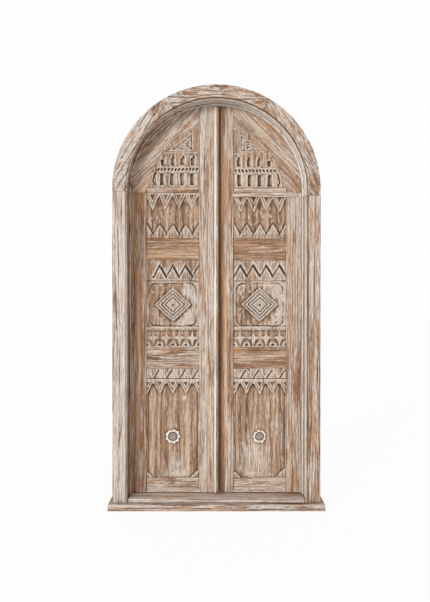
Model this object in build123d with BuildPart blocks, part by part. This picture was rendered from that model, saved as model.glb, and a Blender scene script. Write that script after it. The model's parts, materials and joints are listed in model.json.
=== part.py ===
"""Arched pair of carved teak doors in their frame, with sill, threshold, stops and butt hinges.

Millimetres. +Z is up, the carved front faces -Y, and the origin is the middle of the sill's underside.
"Across" is a distance outward from the middle of the doorway, the same way for both leaves.
"Recess" is a depth behind the front of the leaves' stiles.
"""

import math
import os

from build123d import *

# Leaves, across the doorway
meeting_stile_reach = 97
panel_width = 290
outer_stile_width = 92
left_leaf_past_middle = 15
meeting_bevel = 2.6
meeting_gap = 1.2

# Leaves, from the bottom up
bottom_rail_height = 81
lower_panel_height = 610
lock_rail_height = 119
middle_panel_height = 485
mid_rail_height = 120
frieze_panel_height = 254
spring_rail_height = 28
spring_rail_rise = 23

# Leaves, front to back
leaf_thickness = 40
joint_depth = 21
field_recess = 12
tongue_thickness = 10
tongue_length = 8
groove_clearance = 0.2
tongue_end_clearance = 1
panel_fit = 0.5
stile_chamfer = 4
rail_chamfer = 3
rail_field_recess = 2.5

# Tenons of the rails and arch boards
tenon_length = 40
tenon_thickness = 12
tenon_shoulder = 10
tenon_clearance = 0.2
arch_tenon_length = 30

# Boards that close the top of each leaf
inner_board_least_width = 12
arch_strip_width = 48
outer_board_rise = 49
arch_groove_depth = 5
arch_strip_proud = 1.5

# Bead over the meeting edge, and the batten on the right leaf
bead_width = 28
bead_projection = 12
bead_top_clearance = 1.5
batten_height = 25
batten_projection = 9
batten_inner_lap = 9
batten_outer_lap = 62

# Frame
hinge_gap = 3
jamb_width = 82
moulding_width = 9
moulding_quirk = 2.5
moulding_flat = 3
leaf_recess = 120
left_joint_angle = -28
right_joint_angle = 31
left_post_drop = 12
right_post_drop = 35
stop_projection = 9
stop_width = 32
stop_clearance = 0.5
key_length = 70
key_width = 40
key_thickness = 14
key_clearance = 0.3
post_tenon_length = 20
post_tenon_width = 46
post_tenon_thickness = 60
tenon_end_room = 1

# Sill and threshold
sill_thickness = 35
sill_side_overhang = 22
sill_front_overhang = 43
sill_back_overhang = 25
sill_arris = 7
threshold_height = 23
threshold_end_gap = 3
threshold_arris = 4
leaf_floor_gap = 3

# Lift-off butt hinges: the jamb's knuckle is below and holds the pin
hinge_length = 100
hinge_end_distance = 170
knuckle_gap = 0.4
barrel_radius = 6
pin_radius = 3.2
pin_clearance = 0.05
pin_end = 2
plate_thickness = 2.5
plate_reach = 30
hinge_fold_gap = 1
barrel_clearance = 0.5
plate_fit = 0.3

# Carving: depths behind the stiles
band_recess = 4
bar_recess = 2.5
cut_recess = 10
star_recess = 3
raised_recess = 6
slot_recess = 17

# Carving: how many units stand side by side in a panel
unit_count = 4

# Carving: small rounds are cut with this many flats of the chisel
round_flats = 10

# Carving of the lunette
lunette_drop = {"left": 0, "right": 7}
slot_width = 26
slot_pitch = 57
slot_margin = 18
lower_slot_foot = 12
lower_slot_height = 62
upper_slot_height = 50
slot_neck_width = 13
slot_neck_height = 12
rope_bar_height = 30
rope_bar_gap = 6
rope_count = 11
rope_slant = 9
rope_hole_width = 9
rope_fillet = 7
triangle_gap = 20
triangle_height = 98
triangle_width = 134
triangle_border = 8
petal_length = 30
petal_width = 13
petal_count = 5

# Carving of the frieze panel
frieze_strip_height = {"left": 13, "right": 26}
pendant_height = 82
pendant_width = 66
spike_foot = 10
spike_height = 60
spike_width = 68

# Carving of the middle panel
middle_strip_height = 13
zigzag_band_height = 98
zigzag_amplitude = 61
zigzag_groove_width = 8
zigzag_groove_depth = 8
field_frame_width = 13
field_corner_radius = 34
diamond_half_width = 100
diamond_half_height = 94
diamond_disc_radius = 15
diamond_hole_radius = 5
star_band_height = 84
star_foot = 8
star_bar_height = 21
star_half_width = 29
star_waist = 9
star_tip_lap = 2
eye_radius = 22
eye_hole_radius = 6

# Carving of the lower panel
triangle_band_height = 51
triangle_band_gap = 4
lower_bar_height = 22
lower_pendant_height = 68
lower_pendant_width = 60
field_border_width = 16
corner_block = 42
rosette_height = 224
rosette_disc_radius = 25
rosette_radius = 45
rosette_petals = 10
rosette_petal_lap = 1.1

# Values that follow
SIDES = {"left": -1, "right": 1}
panel_inner = meeting_stile_reach
panel_outer = panel_inner + panel_width
leaf_radius = panel_outer + outer_stile_width
jamb_radius = leaf_radius + hinge_gap
frame_radius = jamb_radius + jamb_width
stop_radius = jamb_radius - stop_projection
meeting_edge = {
    "left": -left_leaf_past_middle,
    "right": left_leaf_past_middle + 2 * meeting_bevel + meeting_gap,
}

threshold_top = sill_thickness + threshold_height
leaf_bottom = threshold_top + leaf_floor_gap
bottom_rail_top = leaf_bottom + bottom_rail_height
lock_rail_bottom = bottom_rail_top + lower_panel_height
lock_rail_top = lock_rail_bottom + lock_rail_height
mid_rail_bottom = lock_rail_top + middle_panel_height
mid_rail_top = mid_rail_bottom + mid_rail_height
spring_rail_bottom = mid_rail_top + frieze_panel_height
spring_rail_top = spring_rail_bottom + spring_rail_height
arch_center = spring_rail_top - spring_rail_rise
post_top = {"left": arch_center - left_post_drop, "right": arch_center - right_post_drop}

frame_depth = leaf_recess + leaf_thickness
sill_depth = sill_front_overhang + frame_depth + sill_back_overhang
frame_front = -sill_depth / 2 + sill_front_overhang
frame_back = frame_front + frame_depth
leaf_front = frame_front + leaf_recess
leaf_back = leaf_front + leaf_thickness
joint_middle = leaf_front + joint_depth
stop_back = leaf_front - stop_clearance

groove_depth = tongue_length + tongue_end_clearance
strip_outer_distance = leaf_radius - outer_board_rise
strip_inner_distance = strip_outer_distance - arch_strip_width
lunette_radius = strip_inner_distance - inner_board_least_width

hinge_across = jamb_radius - hinge_gap / 2
hinge_y = leaf_back + barrel_clearance + barrel_radius
plate_set_in = plate_thickness - (hinge_gap - hinge_fold_gap) / 2
hinge_heights = {
    "top": spring_rail_bottom - hinge_end_distance,
    "middle": (spring_rail_bottom + leaf_bottom) / 2,
    "bottom": leaf_bottom + hinge_end_distance,
}
unit_pitch = panel_width / unit_count


# Helpers for planes and outlines
def at_depth(y):
    """The upright plane at this y, seen from the front: local x is X and local y is Z."""
    return Plane.XZ.offset(-y)


def outline(points, side=1):
    """A closed outline of (across, height) points on one side of the doorway."""
    with BuildSketch() as drawn:
        with BuildLine():
            Polyline(*[(side * across, height) for across, height in points], close=True)
        make_face()
    return drawn.sketch


def box_points(low_across, high_across, low, high):
    """The corners of an upright rectangle."""
    return [(low_across, low), (high_across, low), (high_across, high), (low_across, high)]


def slab(shape, front, back, mode=Mode.ADD):
    """Give a flat outline its depth between two y values, in the part being built."""
    with BuildSketch(at_depth(back)) as placed:
        add(shape)
    extrude(placed.sketch, amount=back - front, mode=mode)


def raised(shape, low_recess, high_recess):
    """Carving that stands up from one recess to another."""
    slab(shape, leaf_front + high_recess, leaf_front + low_recess)


def sunk(shape, high_recess, low_recess):
    """Carving that is cut down from one recess to another."""
    slab(shape, leaf_front + high_recess, leaf_front + low_recess, Mode.SUBTRACT)


def strip(side, low, high):
    """A level strip across a whole panel."""
    return outline(box_points(panel_inner + panel_fit, panel_outer - panel_fit, low, high), side)


def across_at(position):
    """The place of a carved unit, counted in units from the panel's inner edge."""
    return panel_inner + position * unit_pitch


def within_panel(across):
    """Keep an edge of a half unit inside its panel."""
    return min(max(across, panel_inner + panel_fit), panel_outer - panel_fit)


def wedge(position, base, tip, width):
    """A triangle with a level base, cut off at the panel's edges where it is a half unit."""
    middle = across_at(position)
    left = within_panel(middle - width / 2)
    right = within_panel(middle + width / 2)
    return [(left, base), (right, base), (within_panel(middle), tip)]


# Sections of the frame, drawn outward and backward from its front inner edge
def jamb_section():
    """Section of the posts and the arch, with the quirk and the two flats of the inner arris."""
    face_radius = jamb_radius + moulding_width
    with BuildSketch() as section:
        with BuildLine():
            Polyline(
                (face_radius, moulding_quirk),
                (face_radius, 0),
                (frame_radius, 0),
                (frame_radius, frame_depth),
                (jamb_radius, frame_depth),
                (jamb_radius, moulding_quirk + moulding_width),
                (jamb_radius + moulding_flat, moulding_quirk + moulding_flat),
                close=True,
            )
        make_face()
    return section.sketch


def stop_section():
    """Section of the stop strip that the leaves close against."""
    back = stop_back - frame_front
    front = back - stop_width
    with BuildSketch() as section:
        with BuildLine():
            Polyline(
                (stop_radius, back),
                (stop_radius, front),
                (jamb_radius, front),
                (jamb_radius, back),
                close=True,
            )
        make_face()
    return section.sketch


def upright(section, side, low, high):
    """A straight length of a frame section, standing on one side of the doorway."""
    foot = Plane(origin=(0, frame_front, low), x_dir=(side, 0, 0), z_dir=(0, 0, side))
    with BuildSketch(foot) as placed:
        add(section)
    extrude(placed.sketch, amount=side * (high - low))


def curved(section, start_angle, end_angle):
    """A length of a frame section bent round the arch, between angles from the crown."""
    start = math.radians(start_angle)
    plane = Plane(
        origin=(0, frame_front, arch_center),
        x_dir=(math.sin(start), 0, math.cos(start)),
        z_dir=(-math.cos(start), 0, math.sin(start)),
    )
    with BuildSketch(plane) as placed:
        add(section)
    turn = Axis(origin=(0, frame_front, arch_center), direction=(0, 1, 0))
    revolve(placed.sketch, axis=turn, revolution_arc=end_angle - start_angle)


# Loose wooden keys in the joints between posts and arch pieces
def key_places():
    """Where each key sits: on the end of a frame piece, its length along the grain."""
    middle_radius = (jamb_radius + frame_radius) / 2
    middle_y = frame_front + frame_depth / 2
    places = {}
    for name, angle in (("crown_left", left_joint_angle), ("crown_right", right_joint_angle)):
        turn = math.radians(angle)
        outward = (math.sin(turn), 0, math.cos(turn))
        places[name] = Plane(
            origin=(middle_radius * outward[0], middle_y, arch_center + middle_radius * outward[2]),
            x_dir=outward,
            z_dir=(-math.cos(turn), 0, math.sin(turn)),
        )
    for name, side in SIDES.items():
        places["post_" + name] = Plane(
            origin=(side * middle_radius, middle_y, post_top[name]), x_dir=(1, 0, 0), z_dir=(0, 0, 1)
        )
    return places


def cut_key_pockets(*names):
    """Cut the pockets of the named keys out of the frame piece being built."""
    places = key_places()
    room = 2 * key_clearance
    for name in names:
        with Locations(places[name].location):
            Box(key_width + room, key_thickness + room, key_length + room, mode=Mode.SUBTRACT)


# Hinge recesses, in the posts and in the outer stiles
def cut_hinge_recesses(side, low_across, high_across):
    """Cut the recesses that the hinge plates lie in."""
    for height in hinge_heights.values():
        half = hinge_length / 2 + plate_fit
        shape = outline(box_points(low_across, high_across, height - half, height + half), side)
        slab(shape, leaf_back - plate_reach - plate_fit, leaf_back + plate_fit, Mode.SUBTRACT)


# Frame pieces
def make_sill():
    reach = frame_radius + sill_side_overhang
    with BuildPart() as sill:
        with Locations((0, 0, sill_thickness / 2)):
            Box(2 * reach, sill_depth, sill_thickness)
        fillet(sill.edges().filter_by(Axis.X).group_by(Axis.Y)[0].sort_by(Axis.Z)[-1], sill_arris)
        for side in SIDES.values():
            with Locations(tenon_center(side)):
                Box(
                    post_tenon_width + 2 * tenon_clearance,
                    post_tenon_thickness + 2 * tenon_clearance,
                    2 * (post_tenon_length + tenon_end_room),
                    mode=Mode.SUBTRACT,
                )
    return sill.part


def tenon_center(side):
    """The middle of a post's foot, on top of the sill."""
    return (side * (jamb_radius + jamb_width / 2), frame_front + frame_depth / 2, sill_thickness)


def make_threshold():
    reach = jamb_radius - threshold_end_gap
    with BuildPart() as threshold:
        with Locations((0, (frame_front + frame_back) / 2, sill_thickness + threshold_height / 2)):
            Box(2 * reach, frame_depth, threshold_height)
        front_edges = threshold.edges().filter_by(Axis.X).group_by(Axis.Y)[0]
        fillet(front_edges.sort_by(Axis.Z)[-1], threshold_arris)
    return threshold.part


def make_post(name):
    side = SIDES[name]
    with BuildPart() as post:
        upright(jamb_section(), side, sill_thickness, post_top[name])
        with Locations(tenon_center(side)):
            Box(
                post_tenon_width,
                post_tenon_thickness,
                post_tenon_length,
                align=(Align.CENTER, Align.CENTER, Align.MAX),
            )
        cut_key_pockets("post_" + name)
        cut_hinge_recesses(side, jamb_radius - 1, jamb_radius + plate_set_in)
    return post.part


def make_arch_end(name):
    side = SIDES[name]
    joint_angle = {"left": left_joint_angle, "right": right_joint_angle}[name]
    angles = sorted((joint_angle, side * 90))
    with BuildPart() as arch_end:
        curved(jamb_section(), angles[0], angles[1])
        upright(jamb_section(), side, post_top[name], arch_center)
        cut_key_pockets("post_" + name, "crown_" + name)
    return arch_end.part


def make_arch_crown():
    with BuildPart() as crown:
        curved(jamb_section(), left_joint_angle, right_joint_angle)
        cut_key_pockets("crown_left", "crown_right")
    return crown.part


def make_arch_keys():
    with BuildPart() as keys:
        for place in key_places().values():
            with Locations(place.location):
                Box(key_width, key_thickness, key_length)
    return keys.part


def make_stop_upright(name):
    with BuildPart() as stop:
        upright(stop_section(), SIDES[name], threshold_top, post_top[name])
    return stop.part


def make_stop_end(name):
    side = SIDES[name]
    joint_angle = {"left": left_joint_angle, "right": right_joint_angle}[name]
    angles = sorted((joint_angle, side * 90))
    with BuildPart() as stop:
        curved(stop_section(), angles[0], angles[1])
        upright(stop_section(), side, post_top[name], arch_center)
    return stop.part


def make_stop_crown():
    with BuildPart() as stop:
        curved(stop_section(), left_joint_angle, right_joint_angle)
    return stop.part


# Stiles and rails of a leaf
def stile_section(edge, panel_edge, inward, bevel=0):
    """Plan of a stile: its panel edge has the groove and the chamfered arris.

    A meeting stile's other edge is bevelled, so that the leaves clear each other as they swing.
    """
    groove_half = tongue_thickness / 2 + groove_clearance
    groove_floor = panel_edge - inward * groove_depth
    with BuildSketch() as section:
        with BuildLine():
            Polyline(
                (edge, leaf_front),
                (panel_edge - inward * stile_chamfer, leaf_front),
                (panel_edge, leaf_front + stile_chamfer),
                (panel_edge, joint_middle - groove_half),
                (groove_floor, joint_middle - groove_half),
                (groove_floor, joint_middle + groove_half),
                (panel_edge, joint_middle + groove_half),
                (panel_edge, leaf_back),
                (edge - bevel, leaf_back),
                close=True,
            )
        make_face()
    return section.sketch


def stand_stile(section, side, low, high):
    """Raise a stile's plan from one height to another."""
    foot = Plane(origin=(0, 0, low), x_dir=(side, 0, 0), z_dir=(0, 0, side))
    with BuildSketch(foot) as placed:
        add(section)
    extrude(placed.sketch, amount=side * (high - low))


def tenon_shape(side, low_across, high_across, low, high, room=0):
    """A tenon's outline seen from the front, or its mortise's where room is given."""
    points = box_points(low_across - room, high_across + room, low - room, high + room)
    return outline(points, side)


def add_tenon(shape):
    half = tenon_thickness / 2
    slab(shape, joint_middle - half, joint_middle + half)


def cut_mortise(shape):
    half = tenon_thickness / 2 + tenon_clearance
    slab(shape, joint_middle - half, joint_middle + half, Mode.SUBTRACT)


rail_spans = {
    "bottom_rail": (leaf_bottom, bottom_rail_top),
    "lock_rail": (lock_rail_bottom, lock_rail_top),
    "mid_rail": (mid_rail_bottom, mid_rail_top),
    "spring_rail": (spring_rail_bottom, spring_rail_top),
}


def rail_tenon(side, rail, end, room=0):
    """The tenon at a rail's inner or outer end, seen from the front."""
    low, high = rail_spans[rail]
    if end == "inner":
        low_across, high_across = panel_inner - tenon_length, panel_inner
    else:
        low_across, high_across = panel_outer, panel_outer + tenon_length
    return tenon_shape(
        side, low_across, high_across, low + tenon_shoulder, high - tenon_shoulder, room
    )


def leaf_mask():
    """The outline that the leaves fill together: straight below, round above."""
    with BuildSketch() as mask:
        with Locations((0, arch_center)):
            Circle(leaf_radius)
        with Locations((0, (arch_center + leaf_bottom) / 2)):
            Rectangle(2 * leaf_radius, arch_center - leaf_bottom)
    return mask.sketch


def arch_foot_tenon(side, room=0):
    """The tenon of the inner arch board in the top of the outer stile."""
    return tenon_shape(
        side,
        panel_outer + groove_depth + tenon_shoulder,
        leaf_radius - tenon_shoulder,
        spring_rail_bottom - arch_tenon_length,
        spring_rail_bottom,
        room,
    )


def arch_head_tenon(side, room=0):
    """The tenon of the inner arch board in the edge of the meeting stile."""
    low = arch_center + math.sqrt(lunette_radius**2 - panel_inner**2)
    high = arch_center + math.sqrt(2) * strip_inner_distance - panel_inner
    return tenon_shape(
        side,
        panel_inner - arch_tenon_length,
        panel_inner,
        low + tenon_shoulder,
        high - tenon_shoulder,
        room,
    )


def make_meeting_stile(name):
    side = SIDES[name]
    with BuildPart() as stile:
        section = stile_section(meeting_edge[name], panel_inner, 1, meeting_bevel)
        stand_stile(section, side, leaf_bottom, arch_center + leaf_radius)
        slab(leaf_mask(), leaf_front, leaf_back, Mode.INTERSECT)
        for rail in rail_spans:
            cut_mortise(rail_tenon(side, rail, "inner", tenon_clearance))
        cut_mortise(arch_head_tenon(side, tenon_clearance))
    return stile.part


def make_outer_stile(name):
    side = SIDES[name]
    with BuildPart() as stile:
        section = stile_section(leaf_radius, panel_outer, -1)
        stand_stile(section, side, leaf_bottom, spring_rail_bottom)
        for rail in ("bottom_rail", "lock_rail", "mid_rail"):
            cut_mortise(rail_tenon(side, rail, "outer", tenon_clearance))
        cut_mortise(arch_foot_tenon(side, tenon_clearance))
        cut_hinge_recesses(side, leaf_radius - plate_set_in, leaf_radius + 1)
    return stile.part


def rail_section(low, high, grooves, bands):
    """Section of a rail, as (y, z): grooves for the panels, and raised bands along its edges."""
    groove_half = tongue_thickness / 2 + groove_clearance
    low_band, high_band = bands
    field = leaf_front + rail_field_recess
    front = [(leaf_front + rail_chamfer, low), (leaf_front, low + rail_chamfer)]
    if low_band:
        front += [(leaf_front, low + low_band), (field, low + low_band)]
    if high_band:
        front += [(field, high - high_band), (leaf_front, high - high_band)]
    front += [(leaf_front, high - rail_chamfer), (leaf_front + rail_chamfer, high)]
    top = [
        (joint_middle - groove_half, high),
        (joint_middle - groove_half, high - groove_depth),
        (joint_middle + groove_half, high - groove_depth),
        (joint_middle + groove_half, high),
    ]
    bottom = [
        (joint_middle + groove_half, low),
        (joint_middle + groove_half, low + groove_depth),
        (joint_middle - groove_half, low + groove_depth),
        (joint_middle - groove_half, low),
    ]
    corners = [*front, *(top if "top" in grooves else []), (leaf_back, high), (leaf_back, low)]
    corners += bottom if "bottom" in grooves else []
    with BuildSketch() as section:
        with BuildLine():
            Polyline(*corners, close=True)
        make_face()
    return section.sketch


rail_bands = {
    "bottom_rail": (0, 0),
    "lock_rail": (25, 12),
    "mid_rail": (13, 26),
    "spring_rail": (0, 0),
}


def make_rail(name, rail):
    side = SIDES[name]
    low, high = rail_spans[rail]
    grooves = ("top",) if rail == "bottom_rail" else ("top", "bottom")
    with BuildPart() as bar:
        start = side * panel_inner
        with BuildSketch(Plane(origin=(start, 0, 0), x_dir=(0, 1, 0), z_dir=(1, 0, 0))):
            add(rail_section(low, high, grooves, rail_bands[rail]))
        extrude(amount=side * panel_width)
        add_tenon(rail_tenon(side, rail, "inner"))
        add_tenon(rail_tenon(side, rail, "outer"))
    return bar.part


# Boards between the lunette and the arch, all laid at 45 degrees
def slanted_band(near, far):
    """The band between two distances from the arch's centre, square to the 45-degree line."""
    turn = math.radians(45)
    out = (math.sin(turn), math.cos(turn))
    along = (math.cos(turn), -math.sin(turn))
    reach = 2 * leaf_radius
    corners = []
    for distance, run in ((near, -reach), (near, reach), (far, reach), (far, -reach)):
        corners.append(
            (out[0] * distance + along[0] * run, arch_center + out[1] * distance + along[1] * run)
        )
    return corners


def arch_region(side, near, far):
    """The part of a leaf's quadrant, outside the lunette, that lies in one slanted band."""
    quadrant = box_points(
        panel_inner, leaf_radius + 1, spring_rail_bottom, arch_center + leaf_radius + 1
    )
    with BuildSketch() as region:
        add(leaf_mask())
        add(outline(quadrant, side), mode=Mode.INTERSECT)
        with Locations((0, arch_center)):
            Circle(lunette_radius, mode=Mode.SUBTRACT)
        add(outline(box_points(0, panel_outer, 0, spring_rail_top), side), mode=Mode.SUBTRACT)
        add(outline(slanted_band(near, far), side), mode=Mode.INTERSECT)
    return region.sketch


def make_arch_board_outer(name):
    with BuildPart() as board:
        shape = arch_region(SIDES[name], strip_outer_distance, leaf_radius + 1)
        slab(shape, leaf_front + arch_strip_proud, leaf_back)
    return board.part


def make_arch_board_middle(name):
    with BuildPart() as board:
        shape = arch_region(SIDES[name], strip_inner_distance, strip_outer_distance)
        slab(shape, leaf_front, leaf_back)
    return board.part


def make_arch_board_inner(name):
    side = SIDES[name]
    groove_half = tongue_thickness / 2 + groove_clearance
    with BuildPart() as board:
        slab(
            arch_region(side, -leaf_radius, strip_inner_distance),
            leaf_front + arch_strip_proud,
            leaf_back,
        )
        with BuildSketch(at_depth(joint_middle + groove_half)) as groove:
            with Locations((0, arch_center)):
                Circle(lunette_radius + arch_groove_depth)
            above_rail = box_points(0, leaf_radius, spring_rail_top, arch_center + leaf_radius)
            add(outline(above_rail, side), mode=Mode.INTERSECT)
        extrude(groove.sketch, amount=2 * groove_half, mode=Mode.SUBTRACT)
        corner = box_points(
            panel_outer - 1,
            panel_outer + groove_depth,
            spring_rail_bottom - 1,
            spring_rail_bottom + groove_depth,
        )
        slab(
            outline(corner, side), joint_middle - groove_half, joint_middle + groove_half, Mode.SUBTRACT
        )
        cut_mortise(rail_tenon(side, "spring_rail", "outer", tenon_clearance))
        add_tenon(arch_foot_tenon(side))
        add_tenon(arch_head_tenon(side))
    return board.part


# Carved panels
def panel_board(side, low, high):
    """A panel's board with its tongue, before carving."""
    tongue_half = tongue_thickness / 2
    slab(
        strip(side, low + panel_fit, high - panel_fit),
        leaf_front + field_recess,
        joint_middle + tongue_half,
    )
    edge = tongue_length
    tongue = box_points(panel_inner - edge, panel_outer + edge, low - edge, high + edge)
    slab(outline(tongue, side), joint_middle - tongue_half, joint_middle + tongue_half)


def nested_wedge(side, position, base, tip, width, outer_recess):
    """A carved triangle: a raised rim, a sunk middle and a small raised heart."""
    height = tip - base
    raised(outline(wedge(position, base, tip, width), side), field_recess, outer_recess)
    rim = 0.16 * abs(height)
    direction = math.copysign(1, height)
    inner_base = base + direction * 0.4 * rim
    inner = wedge(position, inner_base, inner_base + 0.62 * height, 0.6 * width)
    sunk(outline(inner, side), outer_recess, cut_recess)
    heart_base = base + direction * 0.8 * rim
    heart = wedge(position, heart_base, heart_base + 0.3 * height, 0.28 * width)
    raised(outline(heart, side), cut_recess + 1, raised_recess)


def make_frieze_panel(name):
    side = SIDES[name]
    low, high = mid_rail_top, spring_rail_bottom
    strip_bottom = high - frieze_strip_height[name]
    with BuildPart() as panel:
        panel_board(side, low, high)
        raised(strip(side, strip_bottom, high - panel_fit), field_recess, band_recess)
        for unit in range(unit_count):
            tip = strip_bottom - pendant_height
            nested_wedge(side, unit + 0.5, strip_bottom, tip, pendant_width, band_recess)
        raised(strip(side, low + panel_fit, low + spike_foot), field_recess, band_recess)
        for unit in range(unit_count + 1):
            base = low + spike_foot
            nested_wedge(side, unit, base, base + spike_height, spike_width, raised_recess)
    return panel.part


def zigzag_groove(middle_height):
    """The zigzag's outline: one broken line above and the same one below."""
    turns = 2 * unit_count
    run = unit_pitch / 2
    slope = math.atan2(zigzag_amplitude, run)
    half = zigzag_groove_width / 2 / math.cos(slope)
    line = []
    for turn in range(turns + 1):
        across = within_panel(panel_inner + turn * run)
        height = middle_height + (0.5 if turn % 2 == 0 else -0.5) * zigzag_amplitude
        line.append((across, height))
    upper = [(across, height + half) for across, height in line]
    lower = [(across, height - half) for across, height in reversed(line)]
    return upper + lower


def diamond(side, center_height, scale):
    """A diamond about the middle of the panel."""
    center = panel_inner + panel_width / 2
    wide = scale * diamond_half_width
    tall = scale * diamond_half_height
    points = [
        (center - wide, center_height),
        (center, center_height - tall),
        (center + wide, center_height),
        (center, center_height + tall),
    ]
    return outline(points, side)


def disc(side, across, height, radius):
    """A round as it is cut with a chisel, in many flats."""
    with BuildSketch() as drawn:
        with Locations((side * across, height)):
            RegularPolygon(radius, round_flats)
    return drawn.sketch


def star(side, across, low, high):
    """A four-pointed star whose sides run in from its points to a narrow waist."""
    middle = (low + high) / 2
    points = [
        (across, high),
        (across + star_waist, middle + star_waist),
        (across + star_half_width, middle),
        (across + star_waist, middle - star_waist),
        (across, low),
        (across - star_waist, middle - star_waist),
        (across - star_half_width, middle),
        (across - star_waist, middle + star_waist),
    ]
    return outline(points, side)


def half_disc(side, across, base, radius):
    """A half round that stands on its flat side, cut off at the panel's edges."""
    with BuildSketch() as drawn:
        with Locations((side * across, base)):
            RegularPolygon(radius, round_flats)
        upper = box_points(
            within_panel(across - radius), within_panel(across + radius), base, base + radius
        )
        add(outline(upper, side), mode=Mode.INTERSECT)
    return drawn.sketch


def field_corner(side, edge, height, center, middle):
    """The hollow-cornered block in one corner of the diamond's field."""
    inward = math.copysign(1, center - edge)
    downward = math.copysign(1, middle - height)
    across = edge + inward * panel_fit
    reach = field_frame_width + field_corner_radius
    points = [
        (across, height),
        (across + inward * reach, height),
        (across + inward * reach, height + downward * field_frame_width / 2),
        (across + inward * (reach * 0.6), height + downward * (reach * 0.35)),
        (across + inward * (reach * 0.35), height + downward * (reach * 0.6)),
        (across + inward * field_frame_width / 2, height + downward * reach),
        (across, height + downward * reach),
    ]
    return outline(points, side)


def make_middle_panel(name):
    side = SIDES[name]
    low, high = lock_rail_top, mid_rail_bottom
    band_top = high - middle_strip_height
    band_bottom = band_top - zigzag_band_height
    star_low = low + star_foot
    star_high = star_low + star_band_height
    bar_top = star_high + star_bar_height
    field_top = band_bottom - middle_strip_height
    field_middle = (bar_top + field_top) / 2
    center = panel_inner + panel_width / 2
    with BuildPart() as panel:
        panel_board(side, low, high)
        raised(strip(side, band_top, high - panel_fit), field_recess, raised_recess)
        raised(strip(side, band_bottom, band_top), field_recess, band_recess)
        groove = outline(zigzag_groove((band_bottom + band_top) / 2), side)
        sunk(groove, band_recess, band_recess + zigzag_groove_depth)
        raised(strip(side, field_top, band_bottom), field_recess, raised_recess)
        with BuildSketch() as rim:
            add(strip(side, bar_top, field_top))
            with Locations((side * center, field_middle)):
                Rectangle(
                    panel_width - 2 * field_frame_width,
                    field_top - bar_top - field_frame_width,
                    mode=Mode.SUBTRACT,
                )
            for high_or_low in (bar_top, field_top):
                for edge in (panel_inner, panel_outer):
                    add(field_corner(side, edge, high_or_low, center, field_middle))
        raised(rim.sketch, field_recess, raised_recess)
        for scale, recess in ((1, raised_recess), (0.62, band_recess)):
            raised(diamond(side, field_middle, scale), field_recess, recess)
            sunk(diamond(side, field_middle, 0.82 * scale), recess, recess + 4)
        raised(diamond(side, field_middle, 0.36), field_recess, band_recess)
        raised(disc(side, center, field_middle, diamond_disc_radius), field_recess, star_recess)
        sunk(disc(side, center, field_middle, diamond_hole_radius), star_recess, cut_recess)
        raised(strip(side, star_high, bar_top), field_recess, bar_recess)
        for unit in range(unit_count):
            middle = across_at(unit + 0.5)
            shape = star(side, middle, star_low - star_tip_lap, star_high + star_tip_lap)
            raised(shape, field_recess, star_recess)
        for unit in range(unit_count + 1):
            across = across_at(unit)
            raised(half_disc(side, across, star_low, eye_radius), field_recess, raised_recess)
            hole = half_disc(side, across, star_low + eye_hole_radius, eye_hole_radius)
            sunk(hole, raised_recess, cut_recess)
        raised(strip(side, low + panel_fit, star_low), field_recess, raised_recess)
    return panel.part


def rosette_petal(side, across, height, angle):
    """One petal of the rosette, a kite that points outward."""
    turn = math.radians(angle)
    spread = rosette_petal_lap * math.pi / rosette_petals
    near = rosette_disc_radius - 4
    middle = (rosette_disc_radius + rosette_radius) / 2
    places = ((near, 0), (middle, -spread), (rosette_radius, 0), (middle, spread))
    points = []
    for radius, offset in places:
        points.append(
            (
                across + radius * math.sin(turn + offset),
                height + radius * math.cos(turn + offset),
            )
        )
    return outline(points, side)


def make_lower_panel(name):
    side = SIDES[name]
    low, high = bottom_rail_top, lock_rail_bottom
    band_top = high - triangle_band_gap
    band_bottom = band_top - triangle_band_height
    bar_bottom = band_bottom - lower_bar_height
    center = panel_inner + panel_width / 2
    rosette_center = low + rosette_height
    with BuildPart() as panel:
        panel_board(side, low, high)
        raised(strip(side, band_bottom, high - panel_fit), field_recess, band_recess)
        for unit in range(unit_count):
            foot = band_bottom + triangle_band_gap
            cut = wedge(unit + 0.5, band_top, foot, 0.78 * unit_pitch)
            sunk(outline(cut, side), band_recess, cut_recess)
        raised(strip(side, bar_bottom, band_bottom), field_recess, bar_recess)
        for unit in range(unit_count + 1):
            tip = bar_bottom - lower_pendant_height
            nested_wedge(side, unit, bar_bottom, tip, lower_pendant_width, band_recess)
        for inner, outer in (
            (panel_inner + panel_fit, panel_inner + field_border_width),
            (panel_outer - field_border_width, panel_outer - panel_fit),
        ):
            border = box_points(inner, outer, low + panel_fit, bar_bottom)
            raised(outline(border, side), field_recess, field_recess - 2)
        for corner, toward in ((panel_inner + panel_fit, 1), (panel_outer - panel_fit, -1)):
            foot = low + panel_fit
            block = [(corner, foot), (corner + toward * corner_block, foot)]
            block += [(corner, foot + corner_block)]
            raised(outline(block, side), field_recess, raised_recess)
        for petal in range(rosette_petals):
            angle = 360 * petal / rosette_petals
            shape = rosette_petal(side, center, rosette_center, angle)
            raised(shape, field_recess, raised_recess)
        raised(
            disc(side, center, rosette_center, rosette_disc_radius), field_recess, band_recess
        )
    return panel.part


def slot(side, across, low, high, neck):
    """A niche, with a narrower head where it has a neck."""
    half = slot_width / 2
    if not neck:
        return outline(box_points(across - half, across + half, low, high), side)
    shoulder = high - slot_neck_height
    half_neck = slot_neck_width / 2
    points = [(across - half, low), (across + half, low), (across + half, shoulder)]
    points += [(across + half_neck, shoulder), (across + half_neck, high)]
    points += [(across - half_neck, high), (across - half_neck, shoulder)]
    points += [(across - half, shoulder)]
    return outline(points, side)


def lunette_region(side, radius, low, low_across):
    """The lunette's outline: a quadrant that stands on the spring rail."""
    with BuildSketch() as region:
        with Locations((0, arch_center)):
            Circle(radius)
        quadrant = box_points(low_across, radius + 1, low, arch_center + radius + 1)
        add(outline(quadrant, side), mode=Mode.INTERSECT)
    return region.sketch


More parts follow.
